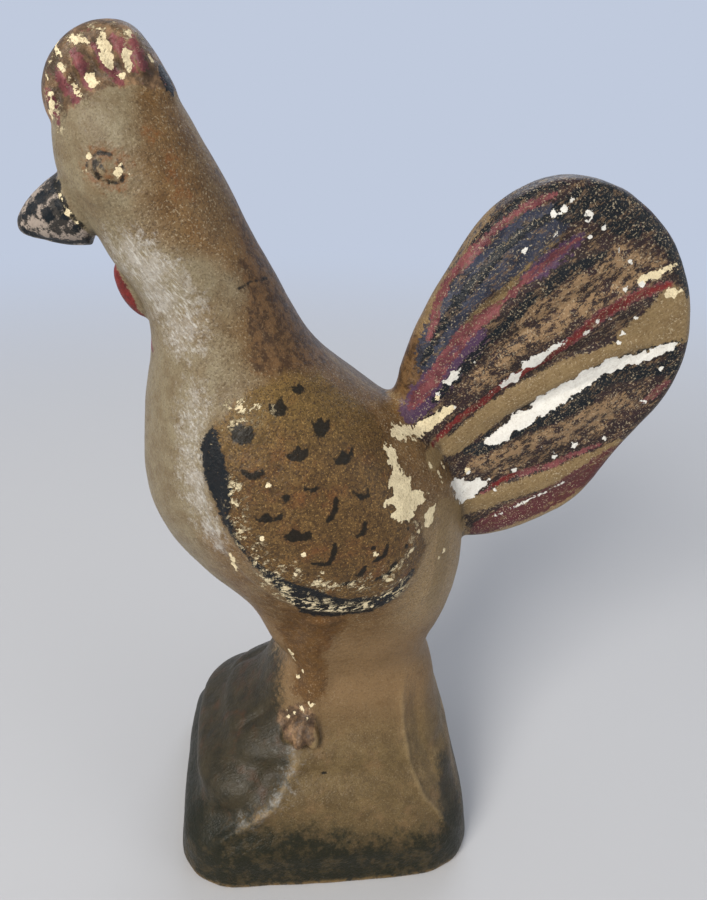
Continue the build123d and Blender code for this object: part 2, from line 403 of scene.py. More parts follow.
class PaintPlan:
    """Where the brush went, where the wear came and where sheen and shade are painted, read off the
    figure's own surface.
    """

    def head(self) -> list[Stroke]:
        """Lay out the comb, the eye, the beak and the wattle.

        Returns:
            The strokes of the head and the neck.
        """
        ribs = paths("""
            -39.9,143.4 -39.2,141.3 -38.8,139.7;
            -38.2,145.6 -37.3,143.5 -35.7,142.3;
            -35.8,148 -34.9,146.2 -34.2,143.9;
            -33.2,148.8 -31.9,146.8 -30.1,144.8;
            -30.8,150.2 -29.3,148.2 -28.4,146.2;
            -28.4,149.8 -27.4,147.8 -26.9,146.3
        """)
        ring = path("""
            -34.9,134.7 -34.3,135.9 -32.6,136.4 -30.8,135.8 -29.8,134.3 -30.5,132.7 -32.3,132.8
            -34,133.6 -34.9,134.7
        """)
        pupil = path("-32.9,133.5 -33.7,133.9 -34.1,134.6 -33.6,135.4 -32.9,135.6")
        beak_root = path("-41,131.8 -39.7,129.4 -38.8,127.2 -37.1,125.4")
        strokes = [Stroke(Coat.WINE, rib, 1.5, 0.9) for rib in ribs]
        strokes += [
            Stroke(Coat.RUST, ring, 1.7, 1.2),
            Stroke(Coat.RED, path("-33.6,117.6 -32.2,113 -30.6,109.6 -29.2,107.2"), 1.8, 0.8),
            Stroke(Coat.WORN_BLACK, ring, 0.36, 0.3),
            Stroke(Coat.WORN_BLACK, pupil, 0.6, 0.3),
            Stroke(Coat.WORN_BLACK, path("-33.1,134.9 -32.5,134.3"), 0.4, 0.3),
            Stroke(Coat.BLACK, path("-25.7,148.2 -24.9,146.2 -23.9,143.8"), 2.6, 1.4),
            Stroke(Coat.BLACK, path("-46.6,124.6 -43.8,123.4 -40.5,123 -37.2,123.4"), 1.5),
            Stroke(Coat.WORN_BLACK, beak_root, 0.8, 0.4),
            Stroke(Coat.GESSO, path("-40.3,130.2 -39.2,127.9 -37.9,126.3"), 0.5, 0.3),
            Stroke(Coat.WORN_BLACK, path("-15.5,118.5 -13.7,119 -11.4,118.8"), 0.35, 0.2),
            # Painted sheen: pale streaks of painted highlight down the throat and the front of the
            # breast.
            Stroke(Coat.PAINTED_SHEEN, path("""
                -31.7,123.5 -28.8,121.5 -26.1,118.2 -24,114.7 -24.3,110.8
            """), 8.0, 4.0),
            Stroke(Coat.PAINTED_SHEEN, path("-22.5,104 -22.8,96 -22.6,88 -19.5,79.5"), 5.0, 2.0),
        ]
        strokes += [
            Stroke(Coat.RUBBED, path("-39.6,146 -36.5,149.2 -31.5,151 -26.5,149.6"), 1.0, 0.6),
            Stroke(Coat.RUBBED, path("-39.8,142.5 -38.3,139.6"), 0.8, 0.5),
        ]
        strokes += spots(Coat.BLACK, 1.9, "-44.7,127.8 -43,129.4 -42.2,127.3 -40.6,131")
        strokes += spots(Coat.BLACK, 1.2, """
            -39.6,127 -40.3,128.9 -45.9,126.6 -43.5,130.8 -38.3,125.6
        """)
        strokes += spots(Coat.GESSO, 0.7, """
            -38,148.9 -39.8,144.8 -39.5,142.9 -38.9,138.9 -28.7,150.3
        """)
        strokes += spots(Coat.GESSO, 0.6, """
            -26.2,147.4 -33.6,150.4 -31.9,149.9 -36.9,142.5 -30,145.4
        """)
        strokes += spots(Coat.GESSO, 0.5, """
            -29.5,133.7 -33.4,136.4 -35.2,134.1 -31.8,132.6 -34.6,136
        """)
        strokes += spots(Coat.RUST, 1.6, "-23.7,136 -23.8,133.8 -22.7,131.3 -26.4,138.7")
        return strokes

    def wing(self) -> list[Stroke]:
        """Lay out the wing's dark border, its small brush marks and its chips.

        Returns:
            The strokes of the wing and the leg.
        """
        marks = paths("""
            -1.4,82.2 -1.5,79.6 -2.4,78 -5,78.5;
            7.4,80.6 7,78.3 5.2,77.7;
            9.1,76.4 7.6,74 5.7,73.6;
            3.7,77 3.3,75.3 2.2,75.2;
            -1.2,89.3 -1.5,87 -2.6,86;
            3.4,85.1 3.2,83 1.7,82.8;
            -9.6,90.2 -8.8,90.1 -9.1,89;
            -0.1,73.6 2.1,73.9
        """)
        strokes = [Stroke(Coat.WORN_BLACK, mark, 0.95, 0.5) for mark in marks]
        strokes += [
            Stroke(Coat.RUST, path("-3,62.4 -1.5,57 -2.6,51"), 3.0, 1.4),
            # Painted light: a lighter tan streak on the lower rump, where that flank is turned from
            # the lamps.
            Stroke(Coat.SMOOTH_TAN, path("18.6,78 18.9,69 18,61"), 4.5, 3.0),
            Stroke(Coat.GESSO, path("-8.1,48.5 -7,44"), 0.8, 0.5),
            Stroke(Coat.GESSO, path("-17.8,78.2 -16.9,74"), 1.0, 0.4),
            Stroke(Coat.RUBBED, path("-16.5,92 -16,84 -10.5,74.5"), 2.4, 1.2),
            Stroke(Coat.RUBBED, path("-12.5,74.5 -7,68.5 -1,66.5 6,66.8 10.5,70"), 5.5, 3.0),
            Stroke(Coat.RUBBED, path("-10,78 -3,73.5 4.5,72.5 10.5,76 12.5,81"), 1.8, 1.0),
            Stroke(Coat.RUBBED, path("-17.4,101.2 -14.8,102.8 -12.4,101.6"), 3.0, 2.0),
        ]
        strokes += spots(Coat.WORN_BLACK, 0.8, "4.8,80.2 10.7,78.8 10.9,81.8")
        strokes += spots(Coat.GESSO, 0.75, """
            15.6,88.4 15.1,81 19,72.8 17.9,71.7 19,102.2 16.9,98.5 23.7,84.1 -1,73.5 -10.4,79
            -6.2,80.3 5.2,78.8 4.8,75 -12.6,82.8 -11.3,91.9 14.9,85 13,79.8 11.9,77.5 -3.2,76.6
            1.9,72.6 8.2,72.9 -7.5,76.2
        """)
        return strokes

    def tail(self) -> list[Stroke]:
        """Lay out the tail's stripes, from its upper rim down, and its chips, with the sheen and
        the groove shade painted on them.

        Returns:
            The strokes of the tail.
        """
        red_a = path("14.9,108.5 15.9,115.2 17.1,117.9 19.7,122.1 22.7,126.1 26.1,129.3 31.5,131.6")
        red_b = path("12.7,96.8 17,103.8 20.4,110.4 24.7,114 28.9,118.7 33,122.6 36.6,125.3")
        red_c = path("""
            16.9,89.7 20.2,93.7 24.9,97.6 28.7,101.6 34.4,105.5 39.2,110 42.7,113.6 47.9,116.6
            53.4,118.2
        """)
        blue_band = path("14,104.8 16.9,111.5 18.9,115.9 21.8,119.6 24.6,123.6 28.6,127.4 33,129")
        grey_tan = path("18.9,107.7 21.5,112.4 25,116 28.2,119.8 30.4,123.8 33.4,126")
        ridge_d = path("""
            16,88.6 20.7,89.3 25,93.2 28.7,96.8 33.6,100.2 38.8,103.5 44.5,105.6 52,108.1 58.3,110.1
        """)
        black_under_d = path("""
            23.6,87.9 26.4,88.9 29.6,91.4 33.2,93.7 36.1,94.9 39.5,96.6 42.9,98.8 45,101.8
            49.1,102.8 53.9,103.2 57.3,103.9
        """)
        red_e = path("27.3,79.1 30.1,81.6 34.5,83.3 39.7,85 44,87.5 48.3,89.2")
        ridge_f = path("17.9,81.3 24.1,76 29.1,78 33.8,80.2 39.3,82.1 44,84.3 48.7,86.7 51,88.4")
        lobe_g = path("27.6,70.6 33,74.2 38.1,76.6 43.1,80.2 47.6,83.6 52.5,88")
        strokes = [
            Stroke(Coat.TAN, path("18.3,122 21.1,126.2 24.5,129.6 28,132.2 32.5,133.9"), 1.0, 0.5),
            Stroke(Coat.TAN, grey_tan, 2.4, 1.4),
            Stroke(Coat.SMOOTH_TAN, ridge_d, 4.5, 3.4),
            Stroke(Coat.SMOOTH_TAN, ridge_f, 3.6, 3.0),
            # Painted reflection: a purple-grey sheen of the sky on the tail's upper red feathers.
            Stroke(Coat.PURPLE_SHEEN, path("12.4,95.2 15.2,99.6 19,104.5 22.9,109.5"), 5.5, 3.0),
            Stroke(Coat.PURPLE_SHEEN, path("28.9,118.7 33,122.6 36.6,125.3"), 2.8, 1.6),
            Stroke(Coat.WINE, red_a, 1.9, 1.0),
            Stroke(Coat.WINE, red_b[:4], 2.6, 1.7),
            Stroke(Coat.WINE, red_b[3:], 1.3, 0.5),
            Stroke(Coat.WINE, red_c[4:], 2.2, 1.2),
            Stroke(Coat.WINE, red_e, 1.0, 0.5),
            Stroke(Coat.DARK_WINE, lobe_g, 5.2, 3.2),
            Stroke(Coat.RED, red_c, 1.5, 0.8),
            Stroke(Coat.RED, path("28.5,80.4 33,82.9"), 0.9, 0.5),
            Stroke(Coat.WINE, path("54.2,97.8 57.4,101.2"), 1.6, 1.0),
            Stroke(Coat.BLACK, path("""
                20.5,124.2 23.3,127.6 26.4,130.4 29.6,132.2 33.5,133.3
            """), 1.3, 0.7),
            # Dark feather paint with a painted bluish sky reflection across the upper tail.
            Stroke(Coat.BLUE, blue_band, 6.0, 3.0),
            Stroke(Coat.BLUE, path("24,118 28.5,123.5 33.5,127.5"), 3.4, 2.0),
            Stroke(Coat.BLACK, blue_band, 1.6, 0.8),
            Stroke(Coat.BLACK, path("32.6,129.1 37.7,131.1 41.6,129.2 45.2,126.6"), 5.0, 2.6),
            Stroke(Coat.BLACK, path("16.2,97.8 20,102.4 24.6,109.2 28.1,113.5 31,116.9"), 2.2, 1.0),
            Stroke(Coat.BLACK, path("""
                29.3,115.9 31.9,117.1 34.5,119.8 37.5,121.2 40.9,122.9
            """), 2.2, 1.0),
            Stroke(Coat.BLACK, path("""
                37.8,133.7 43.2,131.4 47.8,127.9 53.7,122.8 57,117
            """), 2.6, 1.6),
            Stroke(Coat.BLACK, black_under_d, 3.2, 1.8),
            # Painted shade: a thin black line laid along the groove under the tan ridge.
            Stroke(Coat.BLACK, path("""
                23.6,87.9 27.1,91.5 33,96.6 38.1,100.4 45.1,104.9 57.8,108.7
            """), 0.8, 0.5),
            Stroke(Coat.BLACK, path("56.1,107.1 58.3,105.3 57.8,102.4"), 2.6, 1.6),
            Stroke(Coat.CHIP, path("30.5,74.1 36,77.2 42.6,81.4"), 0.35, 0.2),
        ]
        strokes += spots(Coat.CHIP, 1.2, "33.3,129.6 37.5,129.2 42.9,88.9 39.5,86.8")
        strokes += spots(Coat.CHIP, 0.65, """
            37.4,128 40.2,127.3 43.6,123.9 34.6,131.3 31.8,129.1 48.4,118.3 47,108.6 24.1,83.6
            48.1,90.2 55.7,103.7 53.8,97.4 17.1,99.3 22.4,105 26.1,99.2 40.6,110.3 41.9,112.5
            45.7,117.5 49,112.9 44,112.8 29.5,80 32.5,83.8 36.6,88.8 32.4,126.2 38.2,125.8 28,123.6
            45.7,122 47.2,110 20.4,96.6
        """)
        strokes += spots(Coat.GESSO, 0.5, """
            17.4,86.6 18.3,87.1 17.9,85.7 18.9,86.2 18.1,84.9 19.2,85.3
        """)
        return strokes

    def pedestal(self) -> list[Stroke]:
        """Lay out the bird's foot, the worn places round it and the painted highlight on the ridge
        below it.

        Returns:
            The strokes of the pedestal.
        """
        return [
            Stroke(Coat.WORN_BLACK, path("-1.9,24 -1.2,24.1"), 0.6, 0.4),
            Stroke(Coat.OLIVE, path("24.2,20 25.2,12 26,5"), 7.0, 4.0),
            # Painted highlight: a pale sheen laid along the pedestal's front ridge.
            Stroke(Coat.PAINTED_SHEEN, path("""
                -7.8,28.5 -8,25.2 -10.3,21.2 -14.6,17.4 -19.4,13.8
            """), 1.2, 0.6),
            *spots(Coat.GESSO, 1.2, "-5.9,35.4 -3.9,36.8"),
            *spots(Coat.GESSO, 0.6, "-7,34.3 -8.4,33 -4.5,34.4 -6.1,33.4 -8.6,34.1"),
            *spots(Coat.GESSO, 0.7, "-5.6,43.3 -6.3,40.9 -4.4,39.5"),
        ]

    def patches(self) -> list[Patch]:
        """Lay out the broad coats under the strokes.

        Returns:
            The patches of wing, mantle and tail.
        """
        wing = path("""
            -19.6,99.7 -17.6,101.6 -14.6,104.6 -8.8,106.3 -1,104 4.5,99.5 7.4,95.4 9.8,89.7
            12.6,82.6 15.2,76.3 13.5,72.5 9.8,66.4 5.2,63.3 -0.4,62.3 -5.3,63.6 -9.7,71.2 -12.5,75.5
            -15.6,80.3 -18.6,84.3 -20.4,88.9 -21.4,92.9 -21.2,96.4
        """)
        wing_border = path("""
            -19.7,99.7 -20.7,98.4 -21.4,96.6 -21.6,94.6 -21.4,92.2 -20.6,89.9 -19.6,87.2 -18.2,83.7
            -16.6,81.1 -15,78.4 -12.8,75.5 -10.6,72.3 -8.2,67.5 -6.3,63.6 -3.8,62.4 -0.7,62.3
            2.4,62.8 6.2,63.3 9,66.3 11.3,69.2 12.9,72.7 12.5,73.3 10.4,71.3 8.7,69.2 6.1,69.2
            3.6,69.6 0.6,70 -2.4,71.2 -5.4,73 -8.3,74.3 -10.6,75.7 -13.4,77.8 -15.5,80.6 -16.8,83.7
            -17.5,86.7 -17,90.4 -17.3,92.6 -17.9,94.4 -18.3,96.5 -18.9,98.5
        """)
        crowns = paths("""
            -11.6,103.2 -10.7,102.5 -9.3,103.8 -9.1,102.6 -8.4,102.1 -9.1,101.4 -10.3,101.3
            -11.2,102;
            -5,100.3 -4.5,99.8 -3.5,100.5 -3,99.8 -2.2,99.8 -2.1,98.7 -3,97.9 -4.1,98;
            -8.1,105 -7.3,104.5 -6.7,104.8 -6,104.1 -5.9,103.6 -7,103.6 -7.8,104;
            -17.1,99.5 -16.1,100.3 -15,100.1 -13.7,100.1 -13.4,99 -14,98 -15.3,97.6 -16.6,98;
            -8.9,96.1 -7.7,96.6 -6.9,97.6 -6.5,96.8 -5.3,96.9 -5.5,95.8 -6.6,95 -8,95.3;
            -2.7,96 -1.8,95.2 -1.1,94.9 0,96.3 0.6,95.2 1.5,96 1.6,94.7 0.5,93.8 -1.2,94.1;
            -15.4,94.1 -14.4,93.8 -13.6,93.6 -12.2,94.7 -11.9,93.5 -13.1,92.8 -14.4,92.5 -15.3,93.3;
            -6.2,91.6 -5.3,91.1 -3.7,91.7 -3.9,90.8 -5,90.5 -6,90.8;
            1.1,90.5 2.2,89.7 3.4,89.3 3.9,90.5 4.1,88.8 2.8,88.5 1.6,89.6;
            -14.2,87.1 -12.9,86.3 -11.8,87.6 -10.7,86.7 -9.3,87.6 -9.5,86.3 -11.6,85.8 -13.2,85.9;
            -9.9,84.1 -8.9,83.8 -7.8,85.1 -6.7,84.1 -5,84.7 -4.9,83.1 -6.7,82.6 -8.9,82.8
        """)
        wing_chips = paths("""
            7.1,94.1 8.2,93.8 8.9,92.7 9.1,91.2 10.2,89.8 11.3,88.8 11.7,87 13.7,85.7 14.1,84.4
            12.4,84 11.5,82.8 10.3,83.2 8.4,84.3 7.4,84.9 8.7,85.7 8.4,86.4 6.3,86.8 6.6,87.7 8,88.1
            7.4,89.9 8.2,91.1 7.2,92.6;
            8.7,95.3 10.8,94.7 12.9,93.5 15.1,94.4 16.5,95.2 17.8,96.1 19.5,97 20.3,96.2 19,95
            18,94.1 16.7,92.9 16.8,91.7 14.3,91.8 12,92.9 9.1,93.9 8.2,94.7;
            14.1,81.7 15,82.7 16.3,82.7 16.7,81.9 15.9,80.6 15.1,79.6 14,80.3;
            48.4,119.9 51.9,121 53.6,121.6 53.8,120.8 50.7,119.2 49,118.7 47.2,118.4;
            52.7,116.8 53.5,117.9 54.6,117.6 55.8,117.2 54.9,116.5 53.7,115.8
        """)
        tail_chips = paths("""
            26.2,90.7 27.9,91.6 29.9,93.2 30.8,95.2 33.7,96 33.8,98.2 36.2,99.4 37.7,101 40,102.2
            41.1,103.8 43.7,104 44.8,105.6 47.5,105.6 50.5,106.4 53.3,107.1 57,108.7 57.6,108.1
            56.4,106.8 54.3,106 52.8,104.9 51,104.5 48.8,104.1 47.2,102.9 45.5,102.6 43.9,101.1
            41.5,99.6 39.8,98.1 38.1,97 36.8,95.5 34.8,94.7 33.1,93.2 31.4,92.3 30.1,90.6 27.4,89.1
            26.1,89.5;
            20.5,82.9 22.6,82.6 23.9,81.8 25.1,81.7 26.3,82.4 27.4,81.2 28.1,82.1 27.9,80.3 26.2,79
            25.1,77.8 23.6,77.1 21.7,79.6 20.9,81.5;
            30.4,105.3 32.4,106.4 34.6,107.8 36.8,109.3 37.4,108.5 35.5,107.1 34.4,105.5 32.8,104.3
            31.1,104;
            27.3,100.9 29.1,102.8 30.8,103.6 30.2,101.5 28.2,100.1;
            17.6,101.6 18.5,102.4 19.1,103.6 20.1,104 20.6,103.1 19.7,102 18.8,100.5
        """)
        comb_chips = paths("""
            -38.4,148.6 -37.5,148.2 -37.3,146.8 -37.1,145.6 -37.6,145.9 -38,146.8;
            -32.2,149.9 -31.2,149.2 -30.8,147.8 -30.8,145.4 -31.5,145.6 -31.6,146.8 -32.4,147.3
            -32.6,148.7;
            -29.5,148.6 -28.5,148.1 -28.4,146.4 -29,146 -29.5,146.9;
            -34.5,145 -33.5,145.5 -32.8,144.1 -33.4,143.3 -34.2,143.6;
            -36.8,145.2 -35.8,144.2 -35.2,142.6 -35.9,142.8 -36.6,144;
            -39.5,142.4 -39.1,141.4 -39.6,139.8 -40,140.5;
            -36.3,149.2 -35.1,149.8 -34.1,149.6 -33.9,148.9 -34.7,149.1 -35.5,148.7;
            -31.3,134.9 -30.4,135.1 -29.8,134.3 -30.1,133.2 -30.7,133.3 -31.1,134.1
        """)
        mantle = path("""
            -19.5,136.5 -17.2,131.5 -16.2,128.5 -15.3,124.5 -14.6,119.5 -14.3,114.8 -13.8,110.6
            -13.4,106.7 -8.8,106.3 -1,105 7,98.5 14.5,97.5 14.5,108 4,114 -3,124 -11,138
        """)
        tail = path("""
            12.4,94.9 14,101 14.2,108 17,118 20.5,124.5 25,130.5 30,134 36,136 45,134 50,130 57,124
            61,117 63,110 61.5,101 57,94 51,87 44,79.5 36,73 27,68.5 25,72 22,78 20.5,84.5 17.5,88
            14.5,91
        """)
        mottled_high = path("""
            22.7,102.8 27,110.4 29.8,114.6 34,118 38.2,121.8 43.5,124.7 50.9,122.2 51.8,119.9
            42.7,115 35.7,110.4 30,106.7 25.9,101.1 23.1,99.8
        """)
        mottled_low = path("""
            24.6,87.4 30.1,89.6 38.4,93.8 45.8,98.4 53.4,100.2 52.5,96.8 46.4,91.5 38.5,88.2
            31.5,83.5 27.6,83.2 24.2,85
        """)
        tan_end = path("47,110.6 51,114.5 53,118.8 59,116.5 61.5,110 54.5,108 44.3,106")
        comb = path("""
            -40.6,138 -40,139.2 -36.7,141.2 -34.1,143 -30,144.3 -27,144.3 -23.6,143.4 -22.5,147
            -25,153 -34,154 -41.5,150 -43,142
        """)
        beak = path("-40.6,133.4 -39.9,129.4 -38.8,127 -36.8,124.6 -37,121.5 -50,121.5 -50,134")
        wattle = path("""
            -40.5,122 -35.9,121.4 -34,119.6 -32.8,116.6 -31.9,113.2 -32.3,109.5 -37,110 -41,116
        """)
        foot = path("""
            -9.8,33.3 -7.5,35.2 -5.3,36.8 -3.5,35.6 -3.2,33.3 -4.4,29.8 -7.6,29 -10.5,31.5
        """)
        front = path("""
            -9.3,46.9 -9.6,40.9 -10.2,33.1 -7.9,28.5 -7.9,25.4 -9.9,22 -13.7,18.4 -19,14.3 -26.8,8.1
            -40,5 -40,46 -20,50
        """)
        leg = path("""
            -10.3,53.8 -6.6,41.8 -7.4,37.6 -4.2,36.7 -1.4,38.6 -0.8,43.9 -2.2,50 -0.9,53.9 2.2,58.8
            2,64 -6,66 -9,63
        """)
        laid = [
            Patch(Coat.OCHRE, wing, nearest=8.0),
            Patch(Coat.BLACK, wing_border, nearest=8.0),
            Patch(Coat.MANTLE, mantle),
            Patch(Coat.TAIL, tail, furthest=8.5),
            Patch(Coat.MOTTLED, mottled_high, furthest=8.5),
            Patch(Coat.MOTTLED, mottled_low, furthest=8.5),
            Patch(Coat.SMOOTH_TAN, tan_end, furthest=8.5),
            Patch(Coat.COMB, comb),
            Patch(Coat.BEAK, beak),
            Patch(Coat.RED, wattle, furthest=4.5),
            Patch(Coat.COMB, foot, nearest=6.0),
            Patch(Coat.LEG, leg, nearest=4.0),
            Patch(Coat.OLIVE, front),
        ]
        laid += [Patch(Coat.WORN_BLACK, crown, nearest=5.0) for crown in crowns]
        laid += [Patch(Coat.GESSO, chip, nearest=1.0) for chip in wing_chips + comb_chips]
        laid += [Patch(Coat.CHIP, chip) for chip in tail_chips]
        return laid


# ---------------------------------------------------------------- the casting


@dataclass(frozen=True)
class Crease:
    """One long hollow that the mould or a finger left in the skin.

    Attributes:
        line: its points as X and Z, seen from the flank.
        width: the distance at which it has all but faded.
        depth: how far it goes in; a negative one stands up.
    """

    line: Line
    width: float
    depth: float


@dataclass(frozen=True)
class WornZone:
    """A strip where the mould's wear and many hands have evened the relief out.

    Attributes:
        line: its middle as X and Z, seen from the flank.
        reach: how far from the middle it ends, in millimetres.
        strength: how strongly the skin is evened out, at most 1.
    """

    line: Line
    reach: float
    strength: float = 1.0


@dataclass
class Casting:
    """The hollow casting, softened, carved with fine lines and cut along the seam.

    Attributes:
        voxel: the grain of the softened skin, in millimetres.
        softening: how many rounds of smoothing wear the edges down.
        step: the spacing of points along a line that is laid on the skin.
        broken: how far apart two laid points are where a line is broken off.
        taper: how steeply a crease sinks in at its ends, from 0 to 1 along its length.
        unevenness: how far the hand-finished surface strays, in millimetres.
        unevenness_size: the width of such a swell, in millimetres.
        seed: what fixes the unevenness.
        foot: how far the hollow is let down through the underside, in millimetres.
        wear_rounds: how many times a worn zone is evened out.
        wear_edge: how steeply a zone's wear sets in from its border.
        rim: the height under which what faces down is flattened, in millimetres.
        facing_down: the upward part of a normal that counts as facing down.
        sharp: the angle in degrees at which an edge stays crisp.
        skin_corners: the fewest corners of a skin, fewer being stray ones.
        creases: the fine lines of the mould.
        zones: where the relief is worn.
    """

    voxel: float = 0.455
    quick_voxel: float = 0.8
    softening: int = 5
    step: float = 0.7
    broken: float = 3.0
    taper: float = 5.0
    unevenness: float = 0.16
    unevenness_size: float = 9.0
    seed: int = 7
    foot: float = 1.0
    wear_rounds: int = 110
    quick_wear_rounds: int = 27
    wear_edge: float = 1.6
    rim: float = 0.35
    facing_down: float = -0.8
    sharp: float = 48.0
    skin_corners: int = 20
    creases: list[Crease] = field(default_factory=list)
    zones: list[WornZone] = field(default_factory=list)

    def __post_init__(self) -> None:
        """List the creases of the mould and the worn zones."""
        comb = paths("""
            -39.3,144.4 -38.2,142.3 -37.2,140.7;
            -37.1,146.9 -36.1,144.9 -35,143.1;
            -34.5,148.5 -33.4,146.5 -32.2,144.4;
            -32,149.6 -30.6,147.5 -29.3,145.5;
            -29.6,150.1 -28.4,148 -27.6,146.2
        """)
        flutes = paths("""
            15.6,106.5 17.8,113.5 20.3,119.4 24,124.6 28.5,128.5 33,130.2;
            18.3,105 21.5,111.8 25.5,116.8 28.8,121.5 31.5,126;
            19,100.5 24,107.4 30.6,112 38,116.9 46,122;
            25.5,106.4 32,112.6 39,118;
            40,101 46,104.6 52,106.2;
            30,86.4 38,89.8 45,93.4 51,96
        """)
        groove_under_d = path("""
            23.6,87.9 27.1,91.5 32,95.9 36.1,98.9 41.1,102.1 46.9,105.5 52.3,107.1 57.8,108.7
        """)
        self.creases = [Crease(line, 0.55, 0.3) for line in comb]
        self.creases += [Crease(line, 0.9, 0.22) for line in flutes]
        self.creases += [
            Crease(groove_under_d, 0.9, 0.45),
            Crease(path("27.9,78.1 32.2,82.6 39.2,85.6 48.4,88.6"), 0.7, 0.3),
            Crease(path("-26.3,20.8 -20.4,26.1 -14.1,30.6 -9.4,34.7"), 1.6, 0.6),
            Crease(path("""
                -7.3,30.4 -6.9,26 -8.8,22.6 -11.9,19.2 -15.7,15.7 -21.1,11.8 -25.8,7.7
            """), 1.5, -1.0),
            Crease(path("-11,27.4 -12.4,23.6 -15.5,20.2 -20,16.6 -25.6,12.6"), 2.6, 0.7),
            Crease(path("""
                14.9,42.2 13.8,37 14.3,30.8 15.5,24 18.3,18 22.5,12.4 25.7,7.3
            """), 1.0, -0.7),
            Crease(path("17.6,40.2 17.1,34 18.2,27.4 21,20.6 25,14.6"), 2.0, 0.6),
            Crease(path("-34.9,134.7 -34.3,135.9 -32.6,136.4 -30.8,135.8 -29.8,134.3"), 0.55, 0.32),
            Crease(path("-29.8,134.3 -30.5,132.7 -32.3,132.5 -34,133.3 -34.9,134.7"), 0.55, 0.32),
            Crease(path("-33.4,134.5 -31.6,134.4"), 1.0, -0.3),
            Crease(path("-46.3,124.4 -43.8,123.3 -40.5,123 -37.4,123.2"), 0.5, 0.3),
            Crease(path("-15.5,118.5 -13.7,119 -11.4,118.8 -9.7,118.8"), 0.3, 0.15),
        ]
        wing_edge = path("""
            -13.5,105.6 -8.8,107 -1,104.8 4.5,101 7.6,97 10.2,91 13,84 15.6,77 14.5,73.5
        """)
        self.zones = [
            WornZone(wing_edge, 5.5),
            WornZone(path("-34,134.2 -31,134.2"), 4.2),
            WornZone(path("-5,56 -5,42"), 7.0, 0.25),
            WornZone(path("-2,47 3.4,46.3 9.3,46 17,44.5"), 7.0),
        ]

    def closed_forms(self, half: bpy.types.Object) -> list[bpy.types.Mesh]:
        """Make the whole outer form and the whole hollow from one half of the shell.

        Args:
            half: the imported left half.

        Returns:
            The closed outer form and the closed hollow.
        """
        shell = bmesh.new()
        shell.from_mesh(half.data)
        bmesh.ops.remove_doubles(shell, verts=shell.verts, dist=WELD)
        cut = [
            face
            for face in shell.faces
            if all(abs(v.co.y) < FLAT for v in face.verts) or all(v.co.z < FLAT for v in face.verts)
        ]
        bmesh.ops.delete(shell, geom=cut, context="FACES")
        skins = [skin for skin in self.skins(shell) if len(skin) > self.skin_corners]
        skins.sort(key=lambda skin: -max(v.co.z for v in skin))
        forms = [
            self.mirrored(shell, skin, name)
            for name, skin in zip(("outer_form", "hollow_form"), skins)
        ]
        shell.free()
        return forms

    def skins(self, shell: bmesh.types.BMesh) -> list[set[bmesh.types.BMVert]]:
        """Find the corners of each skin that hangs together.

        Args:
            shell: the half shell, opened along the seam and underneath.

        Returns:
            The corners of each skin.
        """
        unseen = set(shell.verts)
        found = []
        while unseen:
            skin, waiting = set(), [unseen.pop()]
            while waiting:
                vertex = waiting.pop()
                skin.add(vertex)
                others = {edge.other_vert(vertex) for edge in vertex.link_edges} & unseen
                unseen -= others
                waiting.extend(others)
            found.append(skin)
        return found

    def mirrored(
        self, shell: bmesh.types.BMesh, skin: set[bmesh.types.BMVert], name: str
    ) -> bpy.types.Mesh:
        """Close one skin with its mirror image and a lid underneath.

        Args:
            shell: the half shell.
            skin: the corners of the skin that is kept.
            name: the new mesh's name.

        Returns:
            The closed form.
        """
        form = shell.copy()
        form.verts.ensure_lookup_table()
        kept = {v.index for v in skin}
        stray = [v for v in form.verts if v.index not in kept]
        bmesh.ops.delete(form, geom=stray, context="VERTS")
        whole = form.verts[:] + form.edges[:] + form.faces[:]
        image = bmesh.ops.duplicate(form, geom=whole)["geom"]
        for vertex in (g for g in image if isinstance(g, bmesh.types.BMVert)):
            vertex.co.y = -vertex.co.y
        faces = [g for g in image if isinstance(g, bmesh.types.BMFace)]
        bmesh.ops.reverse_faces(form, faces=faces)
        bmesh.ops.remove_doubles(form, verts=form.verts, dist=2 * FLAT)
        rim = [edge for edge in form.edges if edge.is_boundary]
        bmesh.ops.holes_fill(form, edges=rim, sides=0)
        bmesh.ops.triangulate(form, faces=form.faces[:])
        bmesh.ops.recalc_face_normals(form, faces=form.faces[:])
        log.info("%s: %d open edges left", name, sum(edge.is_boundary for edge in form.edges))
        return mesh_of(name, form)

    def soften(self, outer: bpy.types.Mesh) -> bpy.types.Object:
        """Turn the outer form into one even skin with worn edges.

        Args:
            outer: the closed outer form.

        Returns:
            The softened form as an object.
        """
        piece = new_piece("casting", outer)
        remesh = piece.modifiers.new("even_skin", "REMESH")
        remesh.mode = "VOXEL"
        remesh.voxel_size = self.voxel * MM
        smooth = piece.modifiers.new("wear", "SMOOTH")
        smooth.factor = 0.5
        smooth.iterations = self.softening
        bake_modifiers(piece, "softened_form")
        return piece

    def wear_down(self, mesh: bpy.types.Mesh) -> None:
        """Even the worn zones out.

        Args:
            mesh: the softened form.
        """
        points = mesh_points(mesh)
        flat = points[:, (0, 2)]
        weight = np.zeros(len(points))
        for zone in self.zones:
            line = np.array(zone.line)
            gap = np.min([from_span(flat, *span)[1] for span in zip(line, line[1:])], axis=0)
            worn = np.clip(self.wear_edge * (1 - gap / zone.reach), 0, 1)
            weight = np.maximum(weight, zone.strength * worn)
        rounds = self.wear_rounds
        move_points(mesh, evened(mesh, points, rounds, weight))

